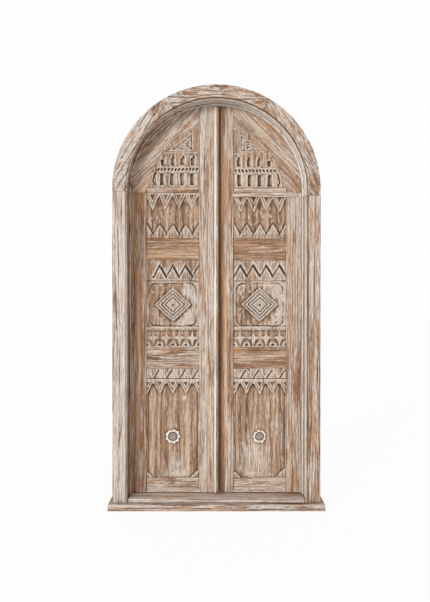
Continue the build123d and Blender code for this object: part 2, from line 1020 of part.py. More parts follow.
def arc_reach(height):
    """How far across the lunette reaches at this height."""
    return math.sqrt(lunette_radius**2 - (height - arch_center) ** 2)


def make_lunette_panel(name):
    side = SIDES[name]
    tongue_half = tongue_thickness / 2
    base = spring_rail_top - lunette_drop[name]
    lower_low = base + lower_slot_foot + lunette_drop["right"]
    lower_high = lower_low + lower_slot_height
    bar_low = lower_high + rope_bar_gap
    bar_high = bar_low + rope_bar_height
    upper_low = bar_high + rope_bar_gap
    upper_high = upper_low + upper_slot_height
    corner = (panel_inner + slot_margin + slot_width / 2, upper_high + triangle_gap)
    first_slot = panel_inner + slot_margin + slot_width / 2
    bar_end = arc_reach(bar_high) - slot_margin
    with BuildPart() as panel:
        slab(
            lunette_region(
                side, lunette_radius - panel_fit, spring_rail_top + panel_fit, panel_inner + panel_fit
            ),
            leaf_front + raised_recess,
            joint_middle + tongue_half,
        )
        tongue = lunette_region(
            side,
            lunette_radius + arch_groove_depth - tongue_end_clearance,
            spring_rail_top - tongue_length,
            panel_inner - tongue_length,
        )
        slab(tongue, joint_middle - tongue_half, joint_middle + tongue_half)
        for low, high, neck in ((lower_low, lower_high, False), (upper_low, upper_high, True)):
            across = first_slot
            while across + slot_width / 2 < arc_reach(high) - slot_margin / 2:
                sunk(slot(side, across, low, high, neck), raised_recess, slot_recess)
                across += slot_pitch
        bar = box_points(panel_inner + panel_fit, bar_end, bar_low, bar_high)
        raised(outline(bar, side), raised_recess, bar_recess)
        bar_start = panel_inner + slot_margin / 2
        pitch = (bar_end - bar_start) / rope_count
        for twist in range(rope_count):
            foot = bar_start + (twist + 0.5) * pitch + rope_slant / 2
            half = rope_hole_width / 2
            points = [
                (foot - half, bar_low + rope_fillet),
                (foot + half, bar_low + rope_fillet),
                (foot + half - rope_slant, bar_high - rope_fillet),
                (foot - half - rope_slant, bar_high - rope_fillet),
            ]
            sunk(outline(points, side), bar_recess, cut_recess)
        across, height = corner
        rim = [(across, height), (across + triangle_width, height)]
        rim += [(across, height + triangle_height)]
        raised(outline(rim, side), raised_recess, band_recess)
        inset = 2.4 * triangle_border
        bed = [(across + triangle_border, height + triangle_border)]
        bed += [(across + triangle_width - inset, height + triangle_border)]
        bed += [(across + triangle_border, height + triangle_height - inset)]
        sunk(outline(bed, side), band_recess, cut_recess + 2)
        root = (across + triangle_border + 6, height + triangle_border + 6)
        for petal in range(petal_count):
            turn = math.radians(90 * (petal + 0.5) / petal_count)
            ahead = (math.cos(turn), math.sin(turn))
            aside = (-ahead[1] * petal_width / 2, ahead[0] * petal_width / 2)
            half_way = (root[0] + ahead[0] * petal_length * 0.55, root[1] + ahead[1] * petal_length * 0.55)
            leaf = [
                (root[0] + ahead[0] * 8, root[1] + ahead[1] * 8),
                (half_way[0] + aside[0], half_way[1] + aside[1]),
                (root[0] + ahead[0] * petal_length, root[1] + ahead[1] * petal_length),
                (half_way[0] - aside[0], half_way[1] - aside[1]),
            ]
            raised(outline(leaf, side), cut_recess + 2, raised_recess)
    return panel.part


# Bead on the left leaf's meeting edge, and batten on the right leaf
def make_bead():
    outer = left_leaf_past_middle
    top = arch_center + stop_radius - bead_top_clearance
    with BuildPart() as bead:
        with BuildSketch(Plane.XY.offset(leaf_bottom)):
            with BuildLine():
                Line((outer, leaf_front), (outer - bead_width, leaf_front))
                Line((outer - bead_width, leaf_front), (outer - bead_width, leaf_front - 5))
                ThreePointArc(
                    (outer - bead_width, leaf_front - 5),
                    (outer - bead_width / 2, leaf_front - bead_projection),
                    (outer, leaf_front - 5),
                )
                Line((outer, leaf_front - 5), (outer, leaf_front))
            make_face()
        extrude(amount=top - leaf_bottom)
    return bead.part


def make_batten():
    low = spring_rail_bottom - batten_height
    inner = panel_inner - batten_inner_lap
    outer = panel_outer + batten_outer_lap
    with BuildPart() as batten:
        shape = outline(box_points(inner, outer, low, spring_rail_bottom))
        slab(shape, leaf_front - batten_projection, leaf_front)
        chamfer(batten.faces().sort_by(Axis.Y)[0].edges(), 2)
    return batten.part


# Lift-off butt hinges
def build_hinge_plate(side, height, owner):
    """One plate and its knuckle, in the part being built; the jamb's has the fixed pin."""
    outward = 1 if owner == "jamb" else -1
    near = hinge_across + outward * hinge_fold_gap / 2
    far = near + outward * plate_thickness
    low_across, high_across = sorted((near, far))
    half = hinge_length / 2
    shape = outline(box_points(low_across, high_across, height - half, height + half), side)
    slab(shape, leaf_back - plate_reach, leaf_back)
    knuckle_length = half - knuckle_gap / 2
    middle = height - outward * (half + knuckle_gap / 2) / 2
    low, high = middle - knuckle_length / 2, middle + knuckle_length / 2
    slab(outline(box_points(low_across, high_across, low, high), side), leaf_back - 1, hinge_y)
    with Locations((side * hinge_across, hinge_y, middle)):
        Cylinder(barrel_radius, knuckle_length)
        if owner == "leaf":
            Cylinder(pin_radius + pin_clearance, knuckle_length, mode=Mode.SUBTRACT)
    if owner == "jamb":
        with Locations((side * hinge_across, hinge_y, middle)):
            pin_length = height + half + pin_end - middle
            Cylinder(pin_radius, pin_length, align=(Align.CENTER, Align.CENTER, Align.MIN))


def make_hinge_plates(name, owner):
    """The plates of one leaf's hinges that are let into the jamb, or those in the leaf."""
    with BuildPart() as plates:
        for height in hinge_heights.values():
            build_hinge_plate(SIDES[name], height, owner)
    return plates.part


def save(part, label):
    part.label = label
    export_step(part, f"parts/{label}.step")


def main():
    os.makedirs("parts", exist_ok=True)
    save(make_sill(), "sill")
    save(make_threshold(), "threshold")
    save(make_arch_crown(), "arch_crown")
    save(make_arch_keys(), "arch_keys")
    save(make_stop_crown(), "stop_arch_crown")
    save(make_bead(), "meeting_bead_left")
    save(make_batten(), "spring_batten_right")
    for name in SIDES:
        save(make_post(name), f"post_{name}")
        save(make_arch_end(name), f"arch_{name}")
        save(make_stop_upright(name), f"stop_{name}")
        save(make_stop_end(name), f"stop_arch_{name}")
        save(make_meeting_stile(name), f"meeting_stile_{name}")
        save(make_outer_stile(name), f"outer_stile_{name}")
        for rail in rail_spans:
            save(make_rail(name, rail), f"{rail}_{name}")
        save(make_arch_board_outer(name), f"arch_board_outer_{name}")
        save(make_arch_board_middle(name), f"arch_board_middle_{name}")
        save(make_arch_board_inner(name), f"arch_board_inner_{name}")
        save(make_lunette_panel(name), f"lunette_panel_{name}")
        save(make_frieze_panel(name), f"frieze_panel_{name}")
        save(make_middle_panel(name), f"middle_panel_{name}")
        save(make_lower_panel(name), f"lower_panel_{name}")
        save(make_hinge_plates(name, "jamb"), f"hinge_jamb_plates_{name}")
        save(make_hinge_plates(name, "leaf"), f"hinge_leaf_plates_{name}")


main()
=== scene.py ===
"""Looks of the round-headed teak double door: limewashed boards, hand-cut carving, iron hinges.

Carving is worked out in millimetres as (across, height) on one leaf, where across is the distance
outward from the middle of the doorway and recess is the depth behind the front of the stiles.
"""

import json
import math
import random

import bmesh
import bpy
import numpy as np
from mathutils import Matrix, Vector, noise


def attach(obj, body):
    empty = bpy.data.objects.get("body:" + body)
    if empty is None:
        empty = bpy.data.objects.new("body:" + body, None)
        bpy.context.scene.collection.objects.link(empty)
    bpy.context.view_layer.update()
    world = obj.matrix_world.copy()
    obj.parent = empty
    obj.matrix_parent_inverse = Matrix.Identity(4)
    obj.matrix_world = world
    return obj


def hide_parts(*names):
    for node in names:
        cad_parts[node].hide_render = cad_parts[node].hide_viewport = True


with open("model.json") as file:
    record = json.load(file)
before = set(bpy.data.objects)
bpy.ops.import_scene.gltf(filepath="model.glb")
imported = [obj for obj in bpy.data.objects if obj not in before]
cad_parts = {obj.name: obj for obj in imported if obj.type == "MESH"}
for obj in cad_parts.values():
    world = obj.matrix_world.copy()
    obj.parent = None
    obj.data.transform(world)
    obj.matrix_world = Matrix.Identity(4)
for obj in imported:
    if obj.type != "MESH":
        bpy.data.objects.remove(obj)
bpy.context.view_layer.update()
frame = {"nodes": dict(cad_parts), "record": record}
nodes = frame["nodes"]
body_of_node = {}
for body_name, members in frame["record"]["behaviour"]["bodies"].items():
    for member in members:
        body_of_node[member] = body_name
slot_of_node = {part["node"]: part["material_slot"] for part in frame["record"]["subparts"]}

SIDES = {"left": -1, "right": 1}
MM = 0.001

# Places on the leaves, in millimetres
panel_inner = 97.5
panel_outer = 386.5
center = (panel_inner + panel_outer) / 2
unit = 72.5
arch_center = 1735
lunette_radius = 370
rim_radius = 369.5
leaf_front = 49
tongue_front = 65
panel_back = 75
tongue_length = 8
shallowest, deepest = 1.2, 18
# Lowest and highest of each front
spans = {
    "lower_panel": (142.5, 751.5),
    "middle_panel": (871.5, 1355.5),
    "frieze_panel": (1476.5, 1729.5),
    "lunette_panel": (1758.5, arch_center + math.sqrt(rim_radius**2 - panel_inner**2)),
}
# X of each leaf where the two come closest, at the back of their meeting edges
meeting_edges = {"left": 18.65, "right": 18.8}
# Ends of a line that runs right across a panel
run_start, run_end = 80, 400
# Width of the squares that a carved front is made of
cell = 2.3


# Smooth noise and outlines on grids
def held(values):
    """The values held between 0 and 1."""
    return np.clip(values, 0, 1)


def tent(distance, reach):
    """1 at no distance, falling evenly to 0 at reach."""
    return held(1 - np.abs(distance) / reach)


def smooth_noise(across, height, size, seed):
    """Noise between -1 and 1 whose bumps are about size across."""
    wide, tall, start = 97, 89, 1000.0
    table = np.random.default_rng(seed).random((wide, tall))
    u = np.asarray(across) / size + start
    v = np.asarray(height) / size + start
    i, j = np.floor(u).astype(int), np.floor(v).astype(int)
    s, t = u - i, v - j
    s, t = s * s * (3 - 2 * s), t * t * (3 - 2 * t)
    i0, i1, j0, j1 = i % wide, (i + 1) % wide, j % tall, (j + 1) % tall
    low = table[i0, j0] * (1 - s) + table[i1, j0] * s
    high = table[i0, j1] * (1 - s) + table[i1, j1] * s
    return 2 * (low * (1 - t) + high * t) - 1


def blurred(values, radius):
    """Box blur over a grid, run twice."""
    width = 2 * radius + 1
    for _ in range(2):
        for axis in (0, 1):
            margin = [(0, 0), (0, 0)]
            margin[axis] = (radius, radius)
            total = np.cumsum(np.pad(values, margin, "edge"), axis=axis)
            total = np.insert(total, 0, 0, axis=axis)
            high = np.take(total, range(width, total.shape[axis]), axis=axis)
            low = np.take(total, range(0, total.shape[axis] - width), axis=axis)
            values = (high - low) / width
    return values


class Carving:
    """A grid of recesses on one panel, and the cuts that a carver makes in it."""

    def __init__(self, across, height, recess, seed, side):
        # the lines wander slowly and shake a little, as cut by hand
        drift, quiver = 1.8, 0.8
        self.across = across + drift * smooth_noise(across, height, 31, seed)
        self.across += quiver * smooth_noise(across, height, 11, seed + 20)
        self.height = height + drift * smooth_noise(across, height, 27, seed + 1)
        self.height += quiver * smooth_noise(across, height, 12, seed + 21)
        self.recess = np.full(across.shape, float(recess))
        self.to_right = across * side
        self.lime = np.zeros(across.shape)

    def distance(self, points, closed=False):
        """How far each place is from a line or a closed outline."""
        best = np.full(self.across.shape, 1e6)
        ends = points[1:] + (points[:1] if closed else [])
        for (ax, az), (bx, bz) in zip(points, ends):
            dx, dz = bx - ax, bz - az
            run = ((self.across - ax) * dx + (self.height - az) * dz) / (dx * dx + dz * dz + 1e-9)
            run = held(run)
            gap = np.hypot(self.across - ax - run * dx, self.height - az - run * dz)
            best = np.minimum(best, gap)
        return best

    def inside(self, points):
        odd = np.zeros(self.across.shape, bool)
        for (ax, az), (bx, bz) in zip(points, points[1:] + points[:1]):
            crosses = (az > self.height) != (bz > self.height)
            place = (bx - ax) * (self.height - az) / (bz - az if bz != az else 1e-9) + ax
            odd ^= crosses & (self.across < place)
        return odd

    def signed(self, points):
        """The distance from an outline, below zero inside."""
        gap = self.distance(points, closed=True)
        return np.where(self.inside(points), -gap, gap)

    def level(self, gap, value, wall=3.2):
        """Bring everything inside an outline to one recess, with sloping walls."""
        share = held(0.5 - gap / wall)
        share = share * share * (3 - 2 * share)
        self.recess += (value - self.recess) * share

    def fill(self, points, value, wall=3.2):
        self.level(self.signed(points), value, wall)

    def round(self, x, z, radius, value, wall=3.2):
        self.level(np.hypot(self.across - x, self.height - z) - radius, value, wall)

    def groove(self, points, width, depth):
        """A V cut along a line; a negative depth leaves a ridge."""
        gap = self.distance(points)
        self.recess += depth * tent(gap, width / 2)

    def ridge(self, points, width, value, lime=0.0):
        """A rounded rib along a line, up to one recess."""
        gap = self.distance(points)
        self.lime += lime * held(1.4 - gap / (width / 2))
        crown = value + 1.5 * held(gap / (width / 2)) ** 2
        self.level(gap - width / 2, crown, 2.2)

    def scoop(self, points, deep, shallow):
        """A hollow with a steep wall on its left and a floor that rises to the right.

        The rising floor gets more limewash: a painted highlight where the light from the left
        falls.
        """
        start = 0.3
        low, high = min(x for x, _ in points), max(x for x, _ in points)
        run = (self.across - low) / (high - low)
        if self.to_right.mean() < 0:
            run = 1 - run
        rise = held((run - start) / (1 - start)) ** 1.3
        gap = self.signed(points)
        self.level(gap, deep + (shallow - deep) * rise, 2.4)
        # Painted highlight on the rising floor
        self.lime += 0.12 * rise * held(-gap / 2)

    def whiten(self, points, amount):
        """Leave more or less limewash inside an outline."""
        soft = 6
        self.lime += amount * held(0.5 - self.signed(points) / soft)

    def hewn(self, depth, size, stretch, seed):
        """Rough ground left by the gouge."""
        marks = smooth_noise(self.across, self.height / stretch, size, seed)
        fine = smooth_noise(self.across, self.height / stretch, size * 0.45, seed + 1)
        self.recess += depth * (np.abs(marks) * 1.3 + 0.5 * fine - 0.5)


def rectangle(start, end, low, high):
    return [(start, low), (end, low), (end, high), (start, high)]


def run_across(height):
    return [(run_start, height), (run_end, height)]


def at(position):
    """Across, counted in units from the panel's inner edge."""
    return panel_inner + position * unit


# Across of the edges between the carving's units
unit_edges = [at(index) for index in range(5)]


def strip(carving, low, high, value, lime=0.0):
    """A band right across the panel, brought to one recess."""
    band = rectangle(panel_inner - 20, panel_outer + 20, low, high)
    carving.fill(band, value)
    carving.whiten(band, lime)


def nick_triangle(x, base, pitch, rise, turn):
    """Six nicks in rows of three, two and one."""
    nicks = []
    for row, count in enumerate((3, 2, 1)):
        for place in range(count):
            nicks.append((x + (place - (count - 1) / 2) * pitch, base + row * rise, turn))
    return nicks


def around(x, z, radius, angle):
    return (x + radius * math.cos(angle), z + radius * math.sin(angle))


def chips(carving, places, size, depth):
    """Small three-cornered nicks, none quite like the next."""
    rng = random.Random(len(places) + round(size * 10))
    for x, z, turn in places:
        x += rng.uniform(-0.3, 0.3) * size
        z += rng.uniform(-0.3, 0.3) * size
        turn += rng.uniform(-14, 14)
        corners = []
        for corner in range(3):
            angle = math.radians(90 + turn + 120 * corner)
            corners.append(around(x, z, size, angle))
        gap = carving.signed(corners)
        carving.recess += depth * held(-gap / (size * 0.45))


# The four carved panels
def carve_lunette(carving, name):
    drop = {"left": 0, "right": 8}[name]
    slant = 8
    rng = random.Random(11 + drop)
    base = 1758
    lower_low, lower_high = 1773 - drop, 1838 - drop
    bar_low, bar_high = 1844 - drop, 1875 - drop
    upper_low, upper_high = 1884 - drop, 1922 - drop
    line = 1952 - drop

    def reach(height):
        return math.sqrt(max(lunette_radius**2 - (height - arch_center) ** 2, 1))

    carving.hewn(1.4, 14, 3, 5)
    carving.ridge([(90, base + 3), (400, base + 3)], 5, 3)
    bar_end = reach(bar_high) - 16
    for across in (131, 188, 244, 300):
        lean = rng.uniform(-1.5, 1.5)
        low, high = across - 13, across + 13
        carving.fill(rectangle(low - 15, low - 2, lower_low, lower_high), 4.6, 4)
        carving.scoop(rectangle(low, high, lower_low + lean, lower_high - abs(lean)), 18, 6)
        notched = across < 290
        top = upper_high if notched else upper_high - 8
        carving.scoop(rectangle(low - 2, high - 4, upper_low, top), 18, 5.5)
        if notched:
            place = across - 6 + lean
            carving.fill(rectangle(place - 5, place + 5, top - 3, top + 13), 17, 2.5)
        carving.ridge([(low - 9, upper_low - 2), (low - 9, upper_high + 10)], 6, 4)
    edge = reach(lower_high) - 11
    sliver = [(edge - 5, lower_low + 4), (edge + 8, lower_low + 22), (edge - 6, lower_high)]
    carving.groove(sliver, 11, 11)
    rib = [(edge - 17, lower_low), (edge - 13, lower_high - 22), (edge - 20, lower_high)]
    carving.ridge(rib, 7, 4)
    carving.fill(rectangle(panel_inner - 9, bar_end, bar_low, bar_high), 4.2)
    for rail in (bar_low + 4.5, bar_high - 4.5):
        carving.ridge([(90, rail), (bar_end, rail)], 8, 2)
    pitch = 19.6
    for twist in range(int((bar_end - 108) / pitch) + 1):
        foot = 112 + twist * pitch + rng.uniform(-1, 1)
        carving.ridge([(foot - 10, bar_low + 5), (foot - 10, bar_high - 5)], 8, 2)
        hole = [(foot - 5, bar_low + 8), (foot + 4, bar_low + 9)]
        hole += [(foot + 5 - slant, bar_high - 8), (foot - 4 - slant, bar_high - 9)]
        carving.fill(hole, 15, 2.4)
    carving.ridge([(panel_inner, line), (reach(line) - 12, line)], 7, 3)
    corner = (129, line + 9)
    rim = [corner, (corner[0] + 140, corner[1]), (corner[0], corner[1] + 108)]
    gap = carving.signed(rim)
    carving.level(gap, 9.5, 3)
    carving.level(np.abs(gap + 3.5) - 3.5, 2.6, 2.4)
    carving.whiten(rim, 0.09)
    bed = held(-(gap + 8) / 2)
    for row in range(5):
        for place in range(6 - row):
            x = corner[0] + 16 + place * 18 + rng.uniform(-3, 3) + row * 1.5
            z = corner[1] + 14 + row * 16 + rng.uniform(-2, 2)
            turn = rng.uniform(0, 2 * math.pi)
            curl = [around(x, z, 6.5, turn + step * 0.9) for step in range(5)]
            gap = carving.distance(curl)
            carving.recess += bed * (3.4 - carving.recess) * held(2.0 - gap / 2.4)
    rim_gap = lunette_radius - np.hypot(carving.across, carving.height - arch_center)
    carving.recess -= 3.5 * tent(rim_gap - 5, 5)
    carving.lime += 0.08 * tent(rim_gap - 5, 7)


def pendant(carving, x, base, tip, width, seed):
    """A hanging or standing tooth with two nested rims."""
    rng = random.Random(seed)
    way = 1 if tip > base else -1
    reach = abs(tip - base)
    tip_x = x + rng.uniform(-3, 3)
    tooth = [(x - width / 2, base), (x + width / 2, base), (tip_x, tip)]
    carving.fill(tooth, 8.5, 3)
    carving.whiten(tooth, 0.05)
    outer = [(x - width * 0.46, base), (tip_x, tip - way * 5), (x + width * 0.46, base)]
    carving.ridge(outer, 8, 3)
    half = [(x - width * 0.24, base), (tip_x * 0.3 + x * 0.7, base + way * reach * 0.46)]
    half.append((x + width * 0.24, base))
    carving.fill(half, 12, 3)
    carving.ridge(half, 7, 4)


def carve_frieze(carving, name):
    low, high = 1476, 1730
    border = {"left": 13, "right": 26}[name]
    top = high - border
    carving.recess[:] = 13
    carving.hewn(3.4, 13, 3.2, 21 + border)
    carving.lime -= 0.035
    strip(carving, top, high + 9, 5, lime=0.06)
    carving.ridge(run_across(top + 9), 6, 3)
    for index in range(4):
        x = at(index + 0.5) + (3 if name == "left" else 0)
        beside = (carving.across - x - 34 * SIDES[name]) / 16
        shadow = np.hypot(beside, (carving.height - top + 55) / 30)
        carving.recess += 5 * held(1 - shadow)
        pendant(carving, x, top + 2, top - 82, 70, index + border)
    for x in unit_edges:
        carving.round(x, top - 1, 7, 3)
        for foil in (x - 7, x + 7):
            carving.round(foil, top - 10, 4, 5)
        carving.round(x, top - 10, 3, 13)
    foot = low + 18
    for x in unit_edges:
        valley = [(x - 36, foot - 2), (x + 36, foot - 2), (x, foot + 62)]
        gap = carving.signed(valley)
        carving.recess += 4 * tent(gap - 3, 7)
    for x in unit_edges:
        spike = [(x - 37, foot - 2), (x + 37, foot - 2), (x, foot + 62)]
        carving.fill(spike, 5, 2.6)
        carving.whiten(spike, 0.06)
        carving.ridge([(x - 33, foot + 1), (x, foot + 56), (x + 33, foot + 1)], 7, 2.6)
        carving.ridge([(x - 15, foot + 1), (x, foot + 26), (x + 15, foot + 1)], 5, 3)
        chips(carving, [(x, foot + 7, 0), (x, foot + 37, 0)], 5, 6)
        chips(carving, [(x - 20, foot + 7, 0), (x + 20, foot + 7, 0)], 4, 6)
        carving.round(x + 36.2, foot + 2, 5, 17, 4)
    strip(carving, low - 9, foot - 2, 4.4, lime=0.03)
    marks = np.random.default_rng(5 + border)
    for _ in range(34):
        x, z = marks.uniform(panel_inner, panel_outer), marks.uniform(low + 4, foot - 3)
        chips(carving, [(x, z, marks.uniform(0, 120))], 4.5, 4)


def carve_middle(carving, name):
    low, high = 871, 1356
    seed = {"left": 31, "right": 57}[name]
    rng = random.Random(seed)
    across, height = carving.across, carving.height
    band_top, band_bottom = high - 13, high - 111
    field_top, bar_top = band_bottom - 13, low + 113
    middle = (field_top + bar_top) / 2
    # the diamond's field, scooped in four hollows
    half_width, half_height = 101, 95
    dx = np.abs(across - center)
    dz = np.abs(height - middle)
    hollow = held((dx / half_width + dz / half_height - 1) / 0.75)
    carving.recess[:] = 14.5 - 6.5 * hollow**1.4
    carving.hewn(3.2, 21, 1.5, seed)
    across_field = np.clip((carving.to_right - carving.to_right.mean()) / 100, -1, 1)
    rise_field = np.clip((height - middle) / 100, -1, 1)
    rise_field *= {"left": -0.4, "right": 1}[name]
    above_bar = held((height - bar_top) / 6)
    in_field = above_bar * held((field_top - height) / 6)
    patches = 0.05 * smooth_noise(across, height, 42, seed + 2)
    carving.lime += (0.09 * across_field + 0.05 * hollow + 0.05 * rise_field + patches) * in_field
    reach_x, reach_z = 134, (field_top - bar_top) / 2 - 3
    corner = 40
    qx, qz = dx - (reach_x - corner), dz - (reach_z - corner)
    frame_gap = np.hypot(np.maximum(qx, 0), np.maximum(qz, 0))
    frame_gap = frame_gap + np.minimum(np.maximum(qx, qz), 0) - corner
    carving.level(-frame_gap, 5.5, 4)
    carving.level(np.abs(frame_gap - 4) - 2.5, 3, 2.6)
    near_corner = held((np.minimum(qx, qz) + 30) / 30)
    carving.recess += (1.2 + 4.5 * near_corner) * tent(frame_gap + 4, 6)
    rhombus = [(center - half_width, middle), (center, middle - half_height)]
    rhombus += [(center + half_width, middle), (center, middle + half_height)]
    carving.fill(rhombus, 5, 2.6)
    carving.whiten(rhombus, 0.14)
    gap = -carving.signed(rhombus)
    for inset, value in ((3, 2.4), (18, 2.8), (33, 3.2)):
        carving.level(np.abs(gap - inset) - 3.2, value, 2.4)
    for inset, value in ((9, 9), (13, 9), (25.5, 12), (40, 11)):
        carving.level(np.abs(gap - inset) - 1.8, value, 2.2)
    bearing = np.arctan2(height - middle, across - center)
    same_sign = (across - center) * (height - middle) > 0
    along = across + np.where(same_sign, -height, height)
    dots = 0.5 + 0.5 * np.sin(along * 2 * math.pi / 13)
    for inset in (11, 25.5, 40):
        carving.recess += 5 * dots * held(1.2 - np.abs(gap - inset) / 4)
    from_center = np.hypot(across - center, height - middle)
    carving.level(from_center - 27, 9, 3)
    carving.level(np.abs(from_center - 21) - 4.5, 3.2, 2.4)
    carving.recess += 1.5 * np.sin(bearing * 9) * tent(from_center - 21, 6)
    carving.level(from_center - 12, 6, 3)
    carving.round(center, middle, 5.5, 18)
    for turn in range(4):
        angle = math.pi / 2 * turn
        place = (center + 62 * math.cos(angle), middle + 58 * math.sin(angle), turn * 90 - 90)
        chips(carving, [place], 7, 7)
    # zigzag band
    strip(carving, field_top, band_bottom, 5.2)
    strip(carving, band_bottom, band_top, 4.6)
    strip(carving, band_top, high + 9, 5)
    line = []
    peak = {"left": 0, "right": 1}[name]
    for turn in range(-1, {"left": 8, "right": 10}[name]):
        wobble = rng.uniform(-1.8, 1.8)
        z = (band_top + band_bottom) / 2 + (31 if turn % 2 == peak else -31) + wobble
        line.append((panel_inner + turn * unit / 2 + rng.uniform(-1.5, 1.5), z))
    for start, end in zip(line, line[1:]):
        falls_right = (end[1] - start[1]) * SIDES[name] < 0
        wide, narrow, deep = (4.5, 4.1, 19) if falls_right else (2.7, 2.3, 16)
        stroke = carving.distance([start, end])
        carving.level(stroke - wide, deep, 2.6)
        beside = [(x + 8 * SIDES[name], z + 3) for x, z in (start, end)]
        carving.ridge(beside, 5, 2.6, lime=0.07)
        carving.level(stroke - narrow, deep, 2.2)
    for x, z in line:
        carving.round(x, z, 5, 19, 3)
    nicks = []
    for turn in range(9):
        x = panel_inner + turn * unit / 2
        if turn % 2 == peak:
            nicks += nick_triangle(x, band_bottom + 9, 15, 13.75, 0)
        else:
            nicks += nick_triangle(x, band_top - 9, 15, -13.75, 60)
    chips(carving, nicks, 6.2, 5.5)
    band = rectangle(run_start, run_end, band_bottom, band_top)
    carving.whiten(band, {"left": -0.02, "right": -0.01}[name])
    for edge in (band_top - 2, band_bottom + 2):
        carving.groove(run_across(edge), 4, -1.4)
    carving.groove(run_across(field_top + 7), 6, 5)
    # bar and stars
    strip(carving, bar_top - 19, bar_top, 3.4, lime=-0.03)
    carving.groove(run_across(bar_top - 13), 5, 4)
    carving.ridge(run_across(bar_top - 5), 5, 2.4, lime=0.06)
    carving.groove(run_across(bar_top + 4), 6, 5)
    star_low, star_high = low + 7, bar_top - 19
    middle_star = (star_low + star_high) / 2
    strip(carving, star_low, star_high, 10.5)
    for index in range(-1, 5):
        x = at(index + 0.5)
        star = [(x, star_high + 6), (x + 8, middle_star + 11), (x + 37, middle_star + 2)]
        star += [(x + 12, middle_star - 9), (x, star_low - 3), (x - 12, middle_star - 9)]
        star += [(x - 37, middle_star + 2), (x - 8, middle_star + 11)]
        carving.fill(star, 3.2, 3.4)
        carving.whiten(star, 0.06)
        carving.groove([(x, star_high - 4), (x, star_low + 4)], 6, -1.5)
    for x in unit_edges:
        lens = np.hypot(across - x, height - (star_high + 14)) - 31
        lens = np.maximum(lens, height - star_high)
        carving.level(lens, 11.5, 3)
        ring = np.hypot(across - x, height - star_low)
        carving.level(ring - 26, 9, 3)
        carving.level(ring - 21, 4.6, 3)
        carving.level(ring - 12, 8, 3)
        carving.round(x, star_low + 7, 6, 15)
    strip(carving, low - 9, star_low, 5)


def carve_lower(carving, name):
    low, high = 142, 752
    seed = {"left": 71, "right": 93}[name]
    rng = random.Random(seed)
    band_top, band_bottom = high - 4, high - 55
    bar_bottom = band_bottom - 22
    tip = bar_bottom - 66
    carving.recess[:] = 12
    x, z = carving.across, carving.height
    sway = 9 * smooth_noise(x, z, 150, seed) + 3 * smooth_noise(x, z, 60, seed + 3)
    plank = np.abs(((x + sway) / 24) % 1 - 0.5) * 2
    carving.recess += 0.9 * (plank**6) + 0.7 * smooth_noise(x, z / 7, 9, seed + 4)
    worn = {"left": (215, 190, 75, 75), "right": (215, 250, 85, 120)}
    worn_x, worn_z, reach_x, reach_z = worn[name]
    whitest = np.hypot((x - worn_x) / reach_x, (z - worn_z) / reach_z)
    carving.lime += 0.1 * held(1.4 - whitest) - 0.02
    carving.lime += 0.2 * held(1.2 - np.hypot((x - 210) / 45, (z - 167) / 9))
    # border of the field: a rolled edge, with cut-off corners below
    inner, outer = panel_inner + 4, panel_outer - 3
    foot = low - 1
    near, far = {"left": (42, 30), "right": (34, 54)}[name]
    field = [(inner, bar_bottom + 30), (inner, foot + near), (inner + 10, foot + near - 6)]
    field += [(inner + near - 8, foot + 10), (inner + near, foot)]
    field += [(outer - far, foot), (outer - far + 8, foot + 10)]
    field += [(outer - 10, foot + far - 6), (outer, foot + far), (outer, bar_bottom + 30)]
    gap = carving.signed(field)
    carving.level(-gap, 5.5, 5)
    carving.recess += 3.2 * np.exp(-(((gap + 3.5) / 3.0) ** 2))
    carving.recess -= 1.6 * np.exp(-(((gap - 5) / 3.0) ** 2))
    # rosette
    rosette = low + 230
    away = np.hypot(x - center, z - rosette)
    turn = np.arctan2(z - rosette, x - center)
    size = {"left": 1.0, "right": 0.92}[name]
    petals = 35 + 7 * np.abs(np.sin(turn * 4.5)) + 3 * smooth_noise(turn * 30, away * 0, 17, seed)
    petals = petals * size
    carving.level(away - petals - 5, 14, 4)
    carving.level(away - petals, 3, 3)
    on_petals = held((petals + 3 - away) / 4)
    carving.lime += 0.6 * on_petals * held((away - 24 * size) / 3)
    carving.level(away - 27 * size, 14, 3)
    carving.level(away - 21 * size, 4.6, 3)
    hatch = np.sin((carving.to_right + z * 0.9) * 2 * math.pi / 11)
    carving.recess += held((21 - away) / 3) * 8 * held(hatch)
    # triangle band and bar
    under = held(1 - (bar_bottom - z) / 95) * (z < bar_bottom)
    carving.recess += 5 * under
    carving.lime -= 0.07 * held(under * 2)
    strip(carving, band_bottom, high + 9, 4.2, lime=0.06)
    nicks = []
    right = SIDES[name]
    for index in range(-1, 5):
        place = at(index + 0.5)
        for start, above, end, below, width, depth in (
            (2, 2, 31, 6, 10, 9.5),
            (-5, 3, 23, 2, 6, None),
            (-8, 4, -36, 3, 6, None),
            (-14, 4, -40, 9, 5, 3.5),
        ):
            line = [(place + start * right, band_bottom + above)]
            line.append((place + end * right, band_top - below))
            if depth is None:
                carving.ridge(line, width, 2.2, lime=0.14)
            else:
                carving.groove(line, width, depth)
        nicks += nick_triangle(place, band_top - 9, 13, -12, 60)
    for edge in unit_edges:
        nicks += [(edge, band_bottom + 10, 0), (edge + 11, band_bottom + 9, 0)]
    chips(carving, nicks, 5.2, 5)
    strip(carving, bar_bottom, band_bottom - 2, 2.6, lime=0.03)
    carving.groove(run_across(band_bottom), 5, 3)
    carving.groove(run_across(bar_bottom + 8), 5, 1.3)
    for index in range(5):
        place = at(index) + rng.uniform(-2, 2)
        pendant(carving, place, bar_bottom + 2, tip, 66, index + seed)
        smudge = np.hypot((x - place - rng.uniform(-6, 6)) / 16, (z - tip + 12) / 20)
        ragged = 0.5 + 0.7 * smooth_noise(x, z / 2, 6, seed + 9)
        carving.lime += rng.uniform(0.06, 0.16) * held(1.3 - smudge) * ragged
    for index in range(4):
        carving.round(at(index + 0.5), bar_bottom - 4, 6, 4.6)


